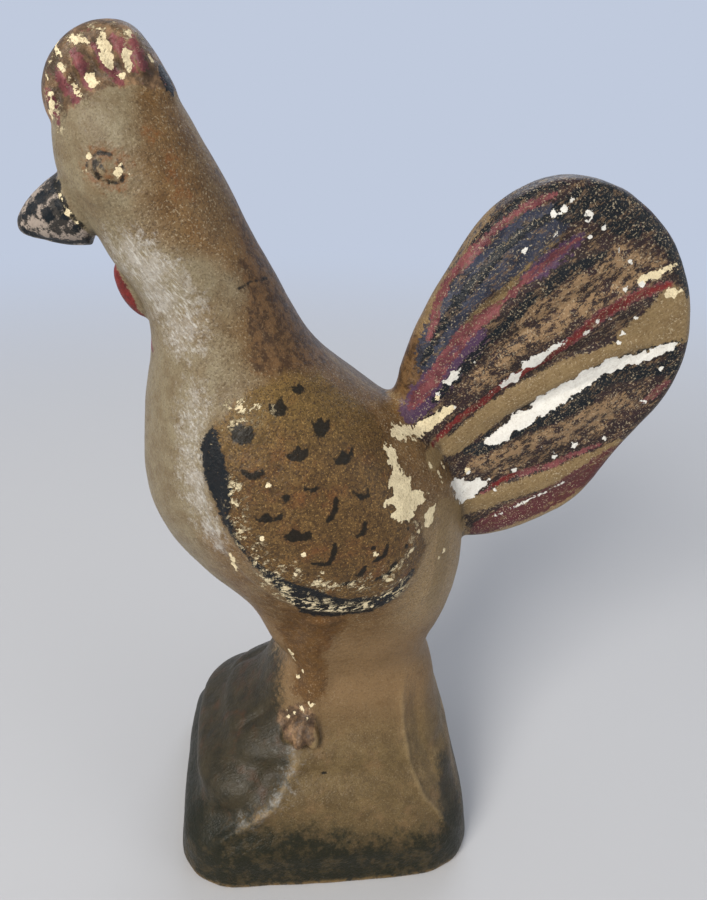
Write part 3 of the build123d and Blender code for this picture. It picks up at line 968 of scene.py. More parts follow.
    def crease_lines(self, skin: "Skin") -> bpy.types.Object:
        """Lay the creases on both flanks as polylines with their width and depth.

        Args:
            skin: the surface that carries them.

        Returns:
            An object of loose edges that the node tree reads.
        """
        form = bmesh.new()
        width = form.verts.layers.float.new("crease_width")
        depth = form.verts.layers.float.new("crease_depth")
        for crease, flank in ((crease, flank) for crease in self.creases for flank in (-1, 1)):
            laid = skin.lay(crease.line, flank, self.step)
            before = None
            for share, point in zip(np.linspace(0, 1, len(laid)), laid):
                vertex = form.verts.new(Vector(point) * MM)
                sunk = min(1.0, self.taper * share, self.taper * (1 - share))
                vertex[width] = crease.width * MM
                vertex[depth] = crease.depth * MM * sunk
                if before is not None and (vertex.co - before.co).length < self.broken * MM:
                    form.edges.new((before, vertex))
                before = vertex
        return new_piece("crease_lines", mesh_of("crease_lines", form))

    def relief_tree(self) -> tuple[bpy.types.NodeTree, dict[str, str]]:
        """Build the node tree that presses lines into the skin and leaves it hand-made.

        Returns:
            The tree, and the identifier of each named input.
        """
        tree = bpy.data.node_groups.new("mould_relief", "GeometryNodeTree")
        face = tree.interface
        face.new_socket("Geometry", in_out="INPUT", socket_type="NodeSocketGeometry")
        sockets = {
            "Lines": "NodeSocketObject",
            "Unevenness": "NodeSocketFloat",
            "Unevenness size": "NodeSocketFloat",
            "Seed": "NodeSocketFloat",
            "Material": "NodeSocketMaterial",
        }
        names = {
            name: face.new_socket(name, in_out="INPUT", socket_type=kind).identifier
            for name, kind in sockets.items()
        }
        face.new_socket("Geometry", in_out="OUTPUT", socket_type="NodeSocketGeometry")
        add = partial(add_node, tree)
        given = add("NodeGroupInput").outputs
        relative = {"transform_space": "RELATIVE"}
        lines = add("GeometryNodeObjectInfo", relative, {"Object": given["Lines"]})
        lines = lines.outputs["Geometry"]
        near = add("GeometryNodeProximity", {"target_element": "EDGES"}, {0: lines})
        which = add("GeometryNodeSampleNearest", {"domain": "POINT"}, {0: lines}).outputs[0]
        kept = []
        for name in ("crease_width", "crease_depth"):
            stored = add("GeometryNodeInputNamedAttribute", {"data_type": "FLOAT"}, {"Name": name})
            source = {0: lines, 1: stored.outputs[0], "Index": which}
            point = {"data_type": "FLOAT", "domain": "POINT"}
            kept.append(Amount(add("GeometryNodeSampleIndex", point, source).outputs[0]))
        width, depth = kept
        fall = (Amount(near.outputs["Distance"]) / width).reckon("POWER", 2.0) * -2.0
        press = fall.reckon("EXPONENT") * depth
        inverse = {0: 1.0, 1: given["Unevenness size"]}
        noise = {
            "Vector": add("GeometryNodeInputPosition").outputs[0],
            "W": given["Seed"],
            "Scale": add("ShaderNodeMath", {"operation": "DIVIDE"}, inverse).outputs[0],
            "Detail": 2.0,
        }
        swell = Amount(add("ShaderNodeTexNoise", {"noise_dimensions": "4D"}, noise).outputs[0])
        # Noise seldom strays more than a quarter from its middle, so it is taken four times.
        moved = (swell - 0.5) * given["Unevenness"] * 4.0 - press
        blur = {0: moved, "Iterations": 2}
        even = add("GeometryNodeBlurAttribute", {"data_type": "FLOAT"}, blur).outputs[0]
        normal = add("GeometryNodeInputNormal").outputs[0]
        outward = {0: normal, "Scale": even}
        shift = add("ShaderNodeVectorMath", {"operation": "SCALE"}, outward).outputs[0]
        placed = {"Geometry": given["Geometry"], "Offset": shift}
        carved = add("GeometryNodeSetPosition", None, placed)
        plain = add("GeometryNodeRealizeInstances", None, {0: carved.outputs[0]})
        finish = {"Geometry": plain.outputs[0], "Material": given["Material"]}
        dressed = add("GeometryNodeSetMaterial", None, finish)
        add("NodeGroupOutput", None, {0: dressed.outputs[0]})
        return tree, names

    def carve(self, piece: bpy.types.Object, material: bpy.types.Material) -> None:
        """Press the creases into the softened form.

        Args:
            piece: the softened form, whose mesh is replaced.
            material: the finish that the tree sets.
        """
        lines = self.crease_lines(Skin.of(piece))
        tree, names = self.relief_tree()
        relief = piece.modifiers.new("mould_relief", "NODES")
        relief.node_group = tree
        relief[names["Lines"]] = lines
        relief[names["Unevenness"]] = self.unevenness * MM
        relief[names["Unevenness size"]] = self.unevenness_size * MM
        relief[names["Seed"]] = float(self.seed)
        relief[names["Material"]] = material
        bake_modifiers(piece, "carved_form")
        bpy.data.objects.remove(lines)

    def keep_in_box(self, mesh: bpy.types.Mesh) -> None:
        """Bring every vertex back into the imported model's box and flatten the underside.

        Args:
            mesh: the carved form.
        """
        boxes = [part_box(node) for node in ("left_half", "right_half")]
        low = np.min([list(b[0]) for b in boxes], axis=0) / MM
        high = np.max([list(b[1]) for b in boxes], axis=0) / MM
        points = np.clip(mesh_points(mesh), low, high)
        under = (points[:, 2] < self.rim) & (mesh_normals(mesh)[:, 2] < self.facing_down)
        points[under, 2] = 0.0
        move_points(mesh, points)

    def cut_half(
        self, whole: bpy.types.Mesh, hollow: bpy.types.Object, flank: int, name: str
    ) -> bpy.types.Object:
        """Cut one half off the carved form along the seam and hollow it.

        Args:
            whole: the carved form.
            hollow: the closed hollow.
            flank: -1 for the bird's left, 1 for its right.
            name: the new piece's name.

        Returns:
            The half shell.
        """
        form = bmesh.new()
        form.from_mesh(whole)
        cut = bmesh.ops.bisect_plane(
            form,
            geom=form.verts[:] + form.edges[:] + form.faces[:],
            dist=WELD / 10,
            plane_co=(0, 0, 0),
            plane_no=(0, flank, 0),
            clear_inner=True,
        )["geom_cut"]
        seam = [g for g in cut if isinstance(g, bmesh.types.BMEdge)]
        bmesh.ops.triangle_fill(form, edges=seam, use_beauty=False, use_dissolve=False)
        bmesh.ops.recalc_face_normals(form, faces=form.faces[:])
        piece = new_piece(name, mesh_of(name, form))
        boolean = piece.modifiers.new("hollow", "BOOLEAN")
        boolean.operation = "DIFFERENCE"
        boolean.solver = "MANIFOLD"
        boolean.object = hollow
        bake_modifiers(piece, name)
        piece.data.shade_smooth()
        piece.data.set_sharp_from_angle(angle=math.radians(self.sharp))
        triangles = sum(len(p.vertices) - 2 for p in piece.data.polygons)
        log.info("%s: %d triangles", name, triangles)
        return piece

    def build(self, material: bpy.types.Material) -> list[bpy.types.Object]:
        """Build the two halves.

        Args:
            material: the painted finish.

        Returns:
            The left half and the right half.
        """
        outer, hollow_mesh = self.closed_forms(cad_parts["left_half"])
        for vertex in hollow_mesh.vertices:
            if vertex.co.z < FLAT:
                vertex.co.z -= self.foot * MM
        hollow = new_piece("hollow_form", hollow_mesh)
        casting = self.soften(outer)
        self.wear_down(casting.data)
        self.carve(casting, material)
        self.keep_in_box(casting.data)
        halves = [
            self.cut_half(casting.data, hollow, flank, name)
            for flank, name in ((-1, "left_half_cast"), (1, "right_half_cast"))
        ]
        for half in halves:
            half.data.materials.clear()
            half.data.materials.append(material)
        bpy.data.objects.remove(casting)
        bpy.data.objects.remove(hollow)
        return halves


# ---------------------------------------------------------------- laying paint on the skin


@dataclass
class Skin:
    """A surface on which lines are laid by looking at it from one flank."""

    tree: BVHTree

    @classmethod
    def of(cls, piece: bpy.types.Object) -> "Skin":
        """Take the skin of a piece."""
        return cls(BVHTree.FromObject(piece, bpy.context.evaluated_depsgraph_get()))

    def lay(self, line: Line, flank: int, step: float) -> np.ndarray:
        """Lay a flat line on the surface.

        Args:
            line: the points, X and Z.
            flank: -1 for the bird's left, 1 for its right.
            step: the spacing of the laid points, in millimetres.

        Returns:
            The points that met the surface, in millimetres.
        """
        flat = np.array(line, float)
        if len(flat) > 1:
            spans = np.linalg.norm(np.diff(flat, axis=0), axis=1)
            along = np.concatenate([[0], np.cumsum(spans)])
            places = np.linspace(0, along[-1], max(2, int(along[-1] / step) + 1))
            flat = np.stack([np.interp(places, along, flat[:, k]) for k in (0, 1)], axis=1)
        way = Vector((0, -flank, 0))
        starts = (Vector((x, flank * OUTSIDE, z)) * MM for x, z in flat)
        hits = (self.tree.ray_cast(start, way)[0] for start in starts)
        return np.array([np.array(hit) / MM for hit in hits if hit is not None]).reshape(-1, 3)


@dataclass
class Painter:
    """Writes each coat on a half as the distance from its nearest stroke.

    Attributes:
        flank: -1 for the bird's left, 1 for its right.
        seed: what fixes the way in which the unseen side differs.
        step: the spacing of points along a stroke.
        stray_wear: how far a chip is shifted on the unseen side, in millimetres.
        stray_paint: how far paint is shifted there.
        unworn: the share of chips that the unseen side lacks.
        hollow_rounds: how often the skin is evened out to find its hollows.
        levels: the heights at which the body's depth is measured: first, end and spacing.
        level_reach: how far above and below such a height is looked at.
        pale_levels: heights at which the pale front of the bird is given; it is partly a paler
            varnish and partly painted sheen.
        pale_shares: how far it reaches at each of them, as a share of the way back.
        pale_edge: the width of its fade, as such a share.
        pale_foot: the height at which it begins, and the height that it takes to grow.
        body_end: how far back the body reaches, where the tail begins.
        band_top: the height of the pedestal's green band.
        band_swing: how far its edge swings up and down.
        band_turn: how fast and from where it does so.
        band_slope: how much higher it is towards the back.
    """

    flank: int
    seed: int = 11
    step: float = 0.9
    stray_wear: float = 2.2
    stray_paint: float = 0.5
    unworn: float = 0.35
    hollow_rounds: int = 24
    levels: tuple[float, float, float] = (50.0, 152.0, 4.0)
    level_reach: float = 3.0
    pale_levels: tuple[float, ...] = (60, 85, 112, 128, 145)
    pale_shares: tuple[float, ...] = (0.2, 0.24, 0.26, 0.5, 0.72)
    pale_edge: float = 0.3
    pale_foot: Range = (56, 8)
    body_end: float = 18
    band_top: float = 12.5
    band_swing: float = 1.6
    band_turn: Range = (2.3, 0.6)
    band_slope: float = 0.03

    def own_line(self, coat: Coat, line: Line, chance: np.random.Generator) -> Line | None:
        """Shift a line a little on the unseen side, where wear is never the same.

        Args:
            coat: what the line is.
            line: its points as they are on the left.
            chance: the source of the shifts.

        Returns:
            The line for this side, or nothing where the mark is missing there.
        """
        if self.flank < 0:
            return line
        worn = coat in (Coat.GESSO, Coat.CHIP)
        shift = chance.normal(0, self.stray_wear if worn else self.stray_paint, 2)
        if worn and chance.random() < self.unworn:
            return None
        return tuple((x + shift[0], z + shift[1]) for x, z in line)

    def stroke_distance(
        self, points: np.ndarray, stroke: Stroke, laid: np.ndarray
    ) -> tuple[np.ndarray, np.ndarray]:
        """Measure how far the vertices round a stroke are from its edge.

        Args:
            points: every vertex.
            stroke: the stroke.
            laid: its points on the skin.

        Returns:
            The vertices that are near it, and their distances, negative inside it.
        """
        reach = stroke.width / 2 + FAR
        near = np.all((points > laid.min(0) - reach) & (points < laid.max(0) + reach), axis=1)
        where = np.flatnonzero(near)
        if len(laid) == 1 or len(where) == 0:
            return where, np.linalg.norm(points[where] - laid[0], axis=1) - stroke.width / 2
        best = np.full(len(where), np.inf)
        for index, (start, end) in enumerate(zip(laid, laid[1:])):
            share, gap = from_span(points[where], start, end)
            along = (index + share) / (len(laid) - 1)
            swell = np.sin(np.pi * along) ** 0.5
            best = np.minimum(best, gap - (stroke.tip + (stroke.width - stroke.tip) * swell) / 2)
        return where, best

    def patch_distance(self, points: np.ndarray, patch: Patch, outline: Line) -> np.ndarray:
        """Measure how far every vertex is from a patch's edge.

        Args:
            points: every vertex.
            patch: the patch.
            outline: its corners on this side.

        Returns:
            The distances, negative inside it.
        """
        flat = points[:, (0, 2)]
        corners = np.array(outline)
        best = np.full(len(points), np.inf)
        inside = np.zeros(len(points), bool)
        for start, end in zip(corners, np.roll(corners, -1, axis=0)):
            best = np.minimum(best, from_span(flat, start, end)[1])
            crosses = (start[1] > flat[:, 1]) != (end[1] > flat[:, 1])
            across, up = end - start
            meets = start[0] + (flat[:, 1] - start[1]) * across / (up if up else TINY)
            inside ^= crosses & (flat[:, 0] < meets)
        best = np.where(inside, -best, best)
        depth = np.abs(points[:, 1])
        inner = patch.nearest - depth if patch.nearest else -FAR
        return np.maximum(np.maximum(best, inner), depth - patch.furthest)

    def hollows(self, mesh: bpy.types.Mesh, points: np.ndarray) -> np.ndarray:
        """Measure how sunken each vertex is against the skin round it.

        Args:
            mesh: the piece's mesh.
            points: its vertices.

        Returns:
            Millimetres below the evened skin, negative on a crest.
        """
        even = evened(mesh, points, self.hollow_rounds)
        return np.einsum("ij,ij->i", even - points, mesh_normals(mesh))

    def breast(self, points: np.ndarray) -> np.ndarray:
        """Say how far to the front of its own level each vertex is.

        Args:
            points: the vertices.

        Returns:
            1 on the breast, the throat and the face, and 0 towards the back.
        """
        levels = np.arange(*self.levels)
        body = points[points[:, 0] < self.body_end]
        rows = [body[np.abs(body[:, 2] - level) < self.level_reach][:, 0] for level in levels]
        front = np.interp(points[:, 2], levels, [row.min() for row in rows])
        back = np.interp(points[:, 2], levels, [row.max() for row in rows])
        share = (points[:, 0] - front) / (back - front)
        reach = np.interp(points[:, 2], self.pale_levels, self.pale_shares)
        # The pale front is partly a paler, greyer varnish and partly painted sheen on the side that
        # faces the lamps.
        pale = np.clip((reach - share) / self.pale_edge + 0.5, 0, 1)
        foot, growth = self.pale_foot
        return pale * np.clip((points[:, 2] - foot) / growth, 0, 1)

    def band(self, points: np.ndarray) -> np.ndarray:
        """Measure how far each vertex is above the pedestal's green band.

        Args:
            points: the vertices.

        Returns:
            The distances in millimetres, negative inside the band.
        """
        speed, start = self.band_turn
        turn = np.arctan2(points[:, 1], points[:, 0])
        edge = self.band_top + self.band_swing * np.sin(speed * turn + start)
        return np.clip(points[:, 2] - (edge - self.band_slope * points[:, 0]), -2 * FAR, 2 * FAR)

    def paint(self, piece: bpy.types.Object, plan: PaintPlan) -> None:
        """Keep every coat, hollow and zone on a half as attributes.

        Args:
            piece: the half.
            plan: where the paint and the wear are.
        """
        mesh = piece.data
        points = mesh_points(mesh)
        skin = Skin.of(piece)
        chance = np.random.default_rng(self.seed)
        layers = {coat: np.full(len(points), FAR) for coat in Coat}
        for patch in plan.patches():
            outline = self.own_line(patch.coat, patch.outline, chance)
            if outline:
                distance = self.patch_distance(points, patch, outline)
                layers[patch.coat] = np.minimum(layers[patch.coat], distance)
        for stroke in plan.head() + plan.wing() + plan.tail() + plan.pedestal():
            line = self.own_line(stroke.coat, stroke.line, chance)
            laid = skin.lay(line, self.flank, self.step) if line else ()
            if len(laid):
                where, distance = self.stroke_distance(points, stroke, laid)
                layers[stroke.coat][where] = np.minimum(layers[stroke.coat][where], distance)
        for coat, distance in layers.items():
            keep_values(mesh, coat.value, np.clip(distance, -FAR, FAR))
        keep_values(mesh, "hollow", self.hollows(mesh, points))
        keep_values(mesh, "breast", self.breast(points))
        keep_values(mesh, "green_band", self.band(points))


# ---------------------------------------------------------------- finishes


class Layers:
    """Colours laid over one another in one material, with patterns sized in millimetres."""

    def __init__(self, name: str) -> None:
        """Start an empty material.

        Args:
            name: the material's name.
        """
        self.material = bpy.data.materials.new(name)
        self.material.use_nodes = True
        self.tree = self.material.node_tree
        self.tree.nodes.clear()
        self.place = add_node(self.tree, "ShaderNodeTexCoord").outputs["Object"]
        axes = add_node(self.tree, "ShaderNodeSeparateXYZ", None, {0: self.place}).outputs
        self.along, self.across, self.up = (Amount(axis) for axis in axes)

    def mottle(
        self,
        size: float,
        seed: float,
        low: float = 0.3,
        high: float = 0.7,
        detail: float = 3.0,
        shape: tuple[float, float, float] | None = None,
        harsh: float = 0.6,
    ) -> Amount:
        """Give a cloudy pattern, stretched to run from none to full.

        Args:
            size: the width of a cloud in millimetres.
            seed: which pattern.
            low: the raw value that becomes none.
            high: the raw value that becomes full.
            detail: how much finer the clouds break up.
            shape: how the clouds are drawn out, on axes turned to run along the tail.
            harsh: how strong the finer clouds are.

        Returns:
            The pattern, from 0 to 1.
        """
        place = self.place
        if shape:
            turn = {"Vector": place, "Rotation": (0.0, math.radians(TAIL_RISE), 0.0)}
            drawn = {0: add_node(self.tree, "ShaderNodeMapping", None, turn).outputs[0], 1: shape}
            stretch = add_node(self.tree, "ShaderNodeVectorMath", {"operation": "MULTIPLY"}, drawn)
            place = stretch.outputs[0]
        noise = {
            "Vector": place,
            "W": seed,
            "Scale": 1 / (size * MM),
            "Detail": detail,
            "Roughness": harsh,
        }
        raw = add_node(self.tree, "ShaderNodeTexNoise", {"noise_dimensions": "4D"}, noise)
        return Amount(raw.outputs[0]).ramp(low, high)

    def kept(self, name: str) -> Amount:
        """Read an attribute that the painter kept on the mesh."""
        stored = add_node(self.tree, "ShaderNodeAttribute", {"attribute_name": name})
        return Amount(stored.outputs["Fac"])

    def cover(
        self, grain: Amount, coat: Coat, ragged: float, strength: float = 1.0, soft: float = 0.15
    ) -> Amount:
        """Give the share of a coat that is there, with an edge that wanders.

        Args:
            grain: the pattern that leads the edge.
            coat: the coat, whose distance the painter kept.
            ragged: how far the edge wanders, in millimetres.
            strength: the most that the coat covers.
            soft: half the width of the edge's own fade, in millimetres.

        Returns:
            The coat's share.
        """
        wandering = grain.reckon("MULTIPLY_ADD", 2 * ragged, self.kept(coat.value))
        return wandering.ramp(ragged + soft, ragged - soft, strength)

    def over(self, below: object, *laid: tuple[object, Amount]) -> bpy.types.NodeSocket:
        """Lay colours over another, one after the other.

        Args:
            below: the colour that is there, hex or socket.
            laid: each colour laid on it, hex or socket, and how much of it shows.

        Returns:
            The mixed colour.
        """
        for colour, share in laid:
            pair = [linear(shade) if isinstance(shade, str) else shade for shade in (below, colour)]
            mixed = {0: share, 6: pair[0], 7: pair[1]}
            below = add_node(self.tree, "ShaderNodeMix", {"data_type": "RGBA"}, mixed).outputs[2]
        return below

    def finish(
        self, colour: object, roughness: Amount, height: Amount, gloss: float = 0.5
    ) -> bpy.types.Material:
        """Close the material.

        Args:
            colour: the surface's colour.
            roughness: its roughness.
            height: its fine relief, in millimetres.
            gloss: how much it mirrors.

        Returns:
            The material.
        """
        relief = {"Distance": MM, "Height": height}
        surface = {
            "Base Color": colour,
            "Roughness": roughness,
            "Specular IOR Level": gloss,
            "Normal": add_node(self.tree, "ShaderNodeBump", None, relief).outputs[0],
        }
        shader = add_node(self.tree, "ShaderNodeBsdfPrincipled", None, surface)
        add_node(self.tree, "ShaderNodeOutputMaterial", None, {"Surface": shader.outputs[0]})
        return self.material


class Grains:
    """The patterns of the painted finish, each made once and shared by its layers.

    The real craze and dust are finer than a tenth of a millimetre. Their specks are drawn
    three times as coarse, so that they show in a render of the whole figure.
    """

    def __init__(self, mix: Layers) -> None:
        """Make the patterns.

        Args:
            mix: the material that they are for.
        """
        lengthwise = (0.6, 1.0, 1.0)
        self.broad = mix.mottle(14.0, 1.0, 0.36, 0.64)
        self.clouds = mix.mottle(2.6, 2.0, 0.34, 0.66, 7.0, harsh=0.7)
        self.patches = mix.mottle(4.0, 3.0, 0.5, 0.68, 6.0, harsh=0.65)
        self.fine = mix.mottle(0.8, 4.0, 0.32, 0.68)
        self.edge = mix.mottle(1.1, 5.0, 0.3, 0.7, 8.0, harsh=0.75)
        self.specks = mix.mottle(0.3, 6.0, 0.52, 0.62, 2.0)
        self.light_specks = mix.mottle(0.33, 7.0, 0.56, 0.66, 2.0)
        self.lost = mix.mottle(0.9, 8.0, 0.61, 0.63, 8.0, harsh=0.75)
        self.rubbed = mix.mottle(1.0, 9.0, 0.52, 0.54, 8.0, lengthwise, harsh=0.75)
        self.streaks = mix.mottle(0.3, 10.0, 0.46, 0.68, 4.0, (1.0, 1.0, 0.25))
        self.feather = mix.mottle(1.15, 11.0, 0.485, 0.51, 9.0, lengthwise, harsh=0.8)
        self.blots = mix.mottle(2.2, 12.0, 0.4, 0.6, 8.0, harsh=0.75)
        self.half = mix.mottle(1.6, 13.0, 0.42, 0.58, 6.0, harsh=0.7)
        self.pores = mix.mottle(0.3, 14.0, 0.2, 0.8, 3.0)
        self.pits = mix.mottle(1.6, 15.0, 0.68, 0.74, 2.0)
        self.barbs = mix.mottle(0.4, 17.0, 0.44, 0.62, 3.0, (0.12, 1.0, 1.0))
        self.chip_edge = mix.mottle(1.2, 18.0, 0.3, 0.7, 4.0, harsh=0.58)
        self.scratches = mix.mottle(0.8, 19.0, 0.535, 0.565, 9.0, (0.3, 1.0, 1.0), harsh=0.8)


@dataclass(frozen=True)
class PaintedChalkware:
    """Plaster with gesso, thin oil paint and a darkened varnish, brushed on by hand.

    To the eye: a brown, waxy skin, speckled where the varnish has crazed and lifted, with
    ragged chips down to the cream ground and darker in every hollow. Painted sheen, sky
    reflection, light and shade are laid into its colour too.

    Attributes:
        breast_fade: how far into the pale front its grey sets in and is full; the grey is partly
            paler varnish and partly painted sheen.
        rump_light_fade: how far back, in metres, the painted light on the rump sets in and is full.
        rump_light_top: the heights in metres from which it shows.
        waist_fade: the heights at which the bird's colour gives way to the waist's.
        stone_fade: the heights at which the waist's gives way to the pedestal's.
        thread_fade: the heights at which the painted sheen on the pale breast breaks into threads.
        foot_fade: the heights at which the rim is worn bare.
        band_fade: how far above the green band's edge it sets in and is full, in millimetres.
        gold_fade: the heights at which the wing's ochre turns to gold.
        tail_fade: how far back, in metres, the tail's paint is scratched.
        hollow_dark_fade: how deep, in millimetres, a hollow is where the darkening sets in and is
            full.
        crest_fade: how proud a crest is where its paint thins, as a negative depth.

    The other fields are its colours, each named for what it paints.
    """

    breast_fade: Range = (0.2, 1.15)
    rump_light_fade: Range = (0.006, 0.016)
    rump_light_top: Range = (0.084, 0.074)
    waist_fade: Range = (0.062, 0.050)
    stone_fade: Range = (0.040, 0.026)
    thread_fade: Range = (0.04, 0.06)
    foot_fade: Range = (0.0022, 0.0006)
    band_fade: Range = (8.0, 1.0)
    gold_fade: Range = (0.093, 0.103)
    tail_fade: Range = (0.008, 0.014)
    hollow_dark_fade: Range = (0.05, 0.45)
    crest_fade: Range = (-0.05, -0.4)
    varnish: str = "#745a39"
    varnish_dark: str = "#5a4226"
    grey_tan: str = "#82775f"
    grey_tan_dark: str = "#6f6048"
    orange_brown: str = "#7c5526"
    dark_speck: str = "#33241a"
    pale_speck: str = "#b9ab8f"
    painted_sheen: str = "#c8c6c0"
    hollow_dark: str = "#261b10"
    crest: str = "#a8916a"
    waist: str = "#775f41"
    stone: str = "#6b593a"
    stone_dark: str = "#54442a"
    olive: str = "#201f15"
    olive_pale: str = "#383223"
    olive_brown: str = "#4a3220"
    green_black: str = "#14170a"
    worn_foot: str = "#8a6d3e"
    mantle: str = "#3a2718"
    mantle_light: str = "#6a4e31"
    rust: str = "#70441d"
    ochre_dark: str = "#3f2e19"
    ochre: str = "#6d532f"
    ochre_light: str = "#9c7c49"
    ochre_red: str = "#6b4425"
    ochre_gold: str = "#826a38"
    tail_dark: str = "#1c1617"
    tail_brown: str = "#2e1f22"
    tail_tan: str = "#8c7254"
    purple_sheen: str = "#4b3450"
    tan: str = "#806a47"
    smooth_tan: str = "#806c4b"
    wine: str = "#83494b"
    wine_dark: str = "#54292f"
    red: str = "#7a2322"
    red_dark: str = "#4c1718"
    dark_wine: str = "#4d2726"
    blue_sheen_on_black: str = "#3a3f50"
    blue_sheen_on_black_dark: str = "#1b1f2a"
    leg: str = "#5f421f"
    comb: str = "#977859"
    comb_dark: str = "#32251b"
    beak: str = "#9d9085"
    beak_dark: str = "#17191b"
    black: str = "#040f17"
    worn_black: str = "#0f0e08"
    gesso: str = "#e6d7b2"
    plaster: str = "#dfddd6"

    def body(self, mix: Layers, grains: Grains) -> bpy.types.NodeSocket:
        """Lay the varnished ground of bird and pedestal, with painted sheen and painted light in
        it.

        Args:
            mix: the material that is being made.
            grains: its patterns.

        Returns:
            The ground's colour.
        """
        clouds, patches, up = grains.clouds, grains.patches, mix.up
        breast = mix.kept("breast")
        low = up.ramp(*self.waist_fade)
        calm = (low.most(breast) * 0.7).rest()
        pale = (breast + grains.broad * 0.5).ramp(*self.breast_fade)
        # Painted light: the lower rump, which is turned from the lamps, is lightened with the crest
        # colour.
        rump_painted_light = mix.along.ramp(*self.rump_light_fade, 0.5) * up.ramp(*self.rump_light_top)
        # Where the sheen coat lies, a pale painted highlight is laid, in clouds and in threads.
        sheen_mask = mix.cover(grains.edge, Coat.PAINTED_SHEEN, 2.5, 0.6, 2.0)
        threads = grains.streaks * up.ramp(*self.thread_fade)
        band = mix.kept("green_band") + (clouds * 4.0 + grains.edge * 3.0)
        worn = up.ramp(*self.foot_fade, 0.8)
        grey = mix.over(self.grey_tan, (self.grey_tan_dark, clouds))
        waist = mix.over(self.waist, (self.varnish_dark, patches * 0.5))
        stone = mix.over(self.stone, (self.stone_dark, clouds), (self.waist, patches * 0.6))
        olive = mix.over(self.olive, (self.olive_pale, clouds), (self.olive_brown, patches * 0.6))
        return mix.over(
            self.varnish,
            (self.varnish_dark, clouds),
            (self.orange_brown, patches * 0.28),
            # The pale grey front: partly paler varnish, partly painted sheen.
            (grey, pale),
            (self.crest, rump_painted_light),
            (waist, low),
            (stone, up.ramp(*self.stone_fade)),
            (self.dark_speck, grains.specks * (calm * 0.42)),
            (self.pale_speck, grains.light_specks * (calm * 0.4)),
            (self.crest, mix.kept("hollow").ramp(*self.crest_fade, 0.28)),
            (olive, mix.cover(grains.edge, Coat.OLIVE, 1.3, 0.95, 1.3)),
            (self.painted_sheen, sheen_mask * clouds.ramp(-0.2, 1.6)),
            (self.painted_sheen, sheen_mask * threads),
            (self.green_black, band.ramp(*self.band_fade, 0.97) * grains.blots.ramp(2.6, 0.2)),
            (self.worn_foot, worn * grains.half),
        )

    def plumage(
        self, mix: Layers, grains: Grains, colour: bpy.types.NodeSocket
    ) -> tuple[bpy.types.NodeSocket, Amount]:
        """Lay the colours of mantle, wing, tail and head over the ground.

        Args:
            mix: the material that is being made.
            grains: its patterns.
            colour: the ground.

        Returns:
            The painted colour, and the share of places where paint came off the gesso.
        """
        cover = partial(mix.cover, grains.edge)
        clouds, fine, half, lost = grains.clouds, grains.fine, grains.half, grains.lost
        specks, pale = grains.specks, grains.light_specks
        rubbed = cover(Coat.RUBBED, 1.5, 1.0, 1.0) * grains.rubbed
        whole = lost.most(rubbed).rest()
        painted = cover(Coat.PURPLE_SHEEN, 0.9, 0.85, 0.3)
        mantle = mix.over(self.mantle, (self.mantle_light, half), (self.varnish, pale * 0.6))
        ochre = mix.over(
            self.ochre_dark,
            (self.ochre, fine.ramp(-0.1, 0.8)),
            (self.ochre_dark, clouds * 0.5),
            (self.ochre_red, grains.patches * 0.7),
            (self.ochre_gold, mix.up.ramp(*self.gold_fade, 0.4)),
            (self.ochre_dark, half * 0.35),
            (self.ochre_light, pale * 0.6),
            (self.dark_speck, specks * 0.7),
        )
        tail = mix.over(
            self.tail_dark,
            (self.tail_brown, clouds),
            (self.tail_tan, lost * 0.9),
            (self.tail_tan, grains.scratches * 0.5),
            (self.tail_tan, cover(Coat.MOTTLED, 1.6, 0.98, 0.9) * grains.feather),
        )
        comb = mix.over(
            self.comb,
            (self.comb_dark, clouds),
            (self.wine, lost * 0.8),
            (self.comb_dark, half * 0.6),
        )
        beak = mix.over(self.beak, (self.beak_dark, grains.blots.ramp(0.25, 0.7, 0.95)))
        tan = mix.over(self.tan, (self.dark_speck, grains.feather * 0.6))
        smooth = mix.over(
            self.smooth_tan,
            (self.varnish_dark, specks * 0.3),
            (self.varnish_dark, clouds * 0.35),
            (self.crest, grains.barbs * 0.2),
        )
        leg = mix.over(self.leg, (self.dark_speck, half * 0.5), (self.tail_tan, pale * 0.7))
        colour = mix.over(
            colour,
            (mantle, cover(Coat.MANTLE, 1.2, 0.88, 0.7)),
            (self.rust, cover(Coat.RUST, 1.4, 0.8, 1.0) * fine.ramp(-0.3, 1.0)),
            (ochre, cover(Coat.OCHRE, 0.8, 0.95, 0.6)),
            (tail, cover(Coat.TAIL, 0.9, 0.98, 0.3)),
            (comb, cover(Coat.COMB, 0.6, 0.95, 0.25)),
            (beak, cover(Coat.BEAK, 0.4, 0.97)),
            (tan, cover(Coat.TAN, 0.9, 0.95)),
            (smooth, cover(Coat.SMOOTH_TAN, 0.6, 0.96)),
            # Painted reflection: the purple-grey sheen of the sky on the upper tail.
            (self.purple_sheen, painted * whole),
            (leg, cover(Coat.LEG, 1.0, 0.85, 0.8)),
        )
        behind = mix.along.ramp(*self.tail_fade, 0.75) * grains.scratches
        whole_tail = whole * behind.rest()
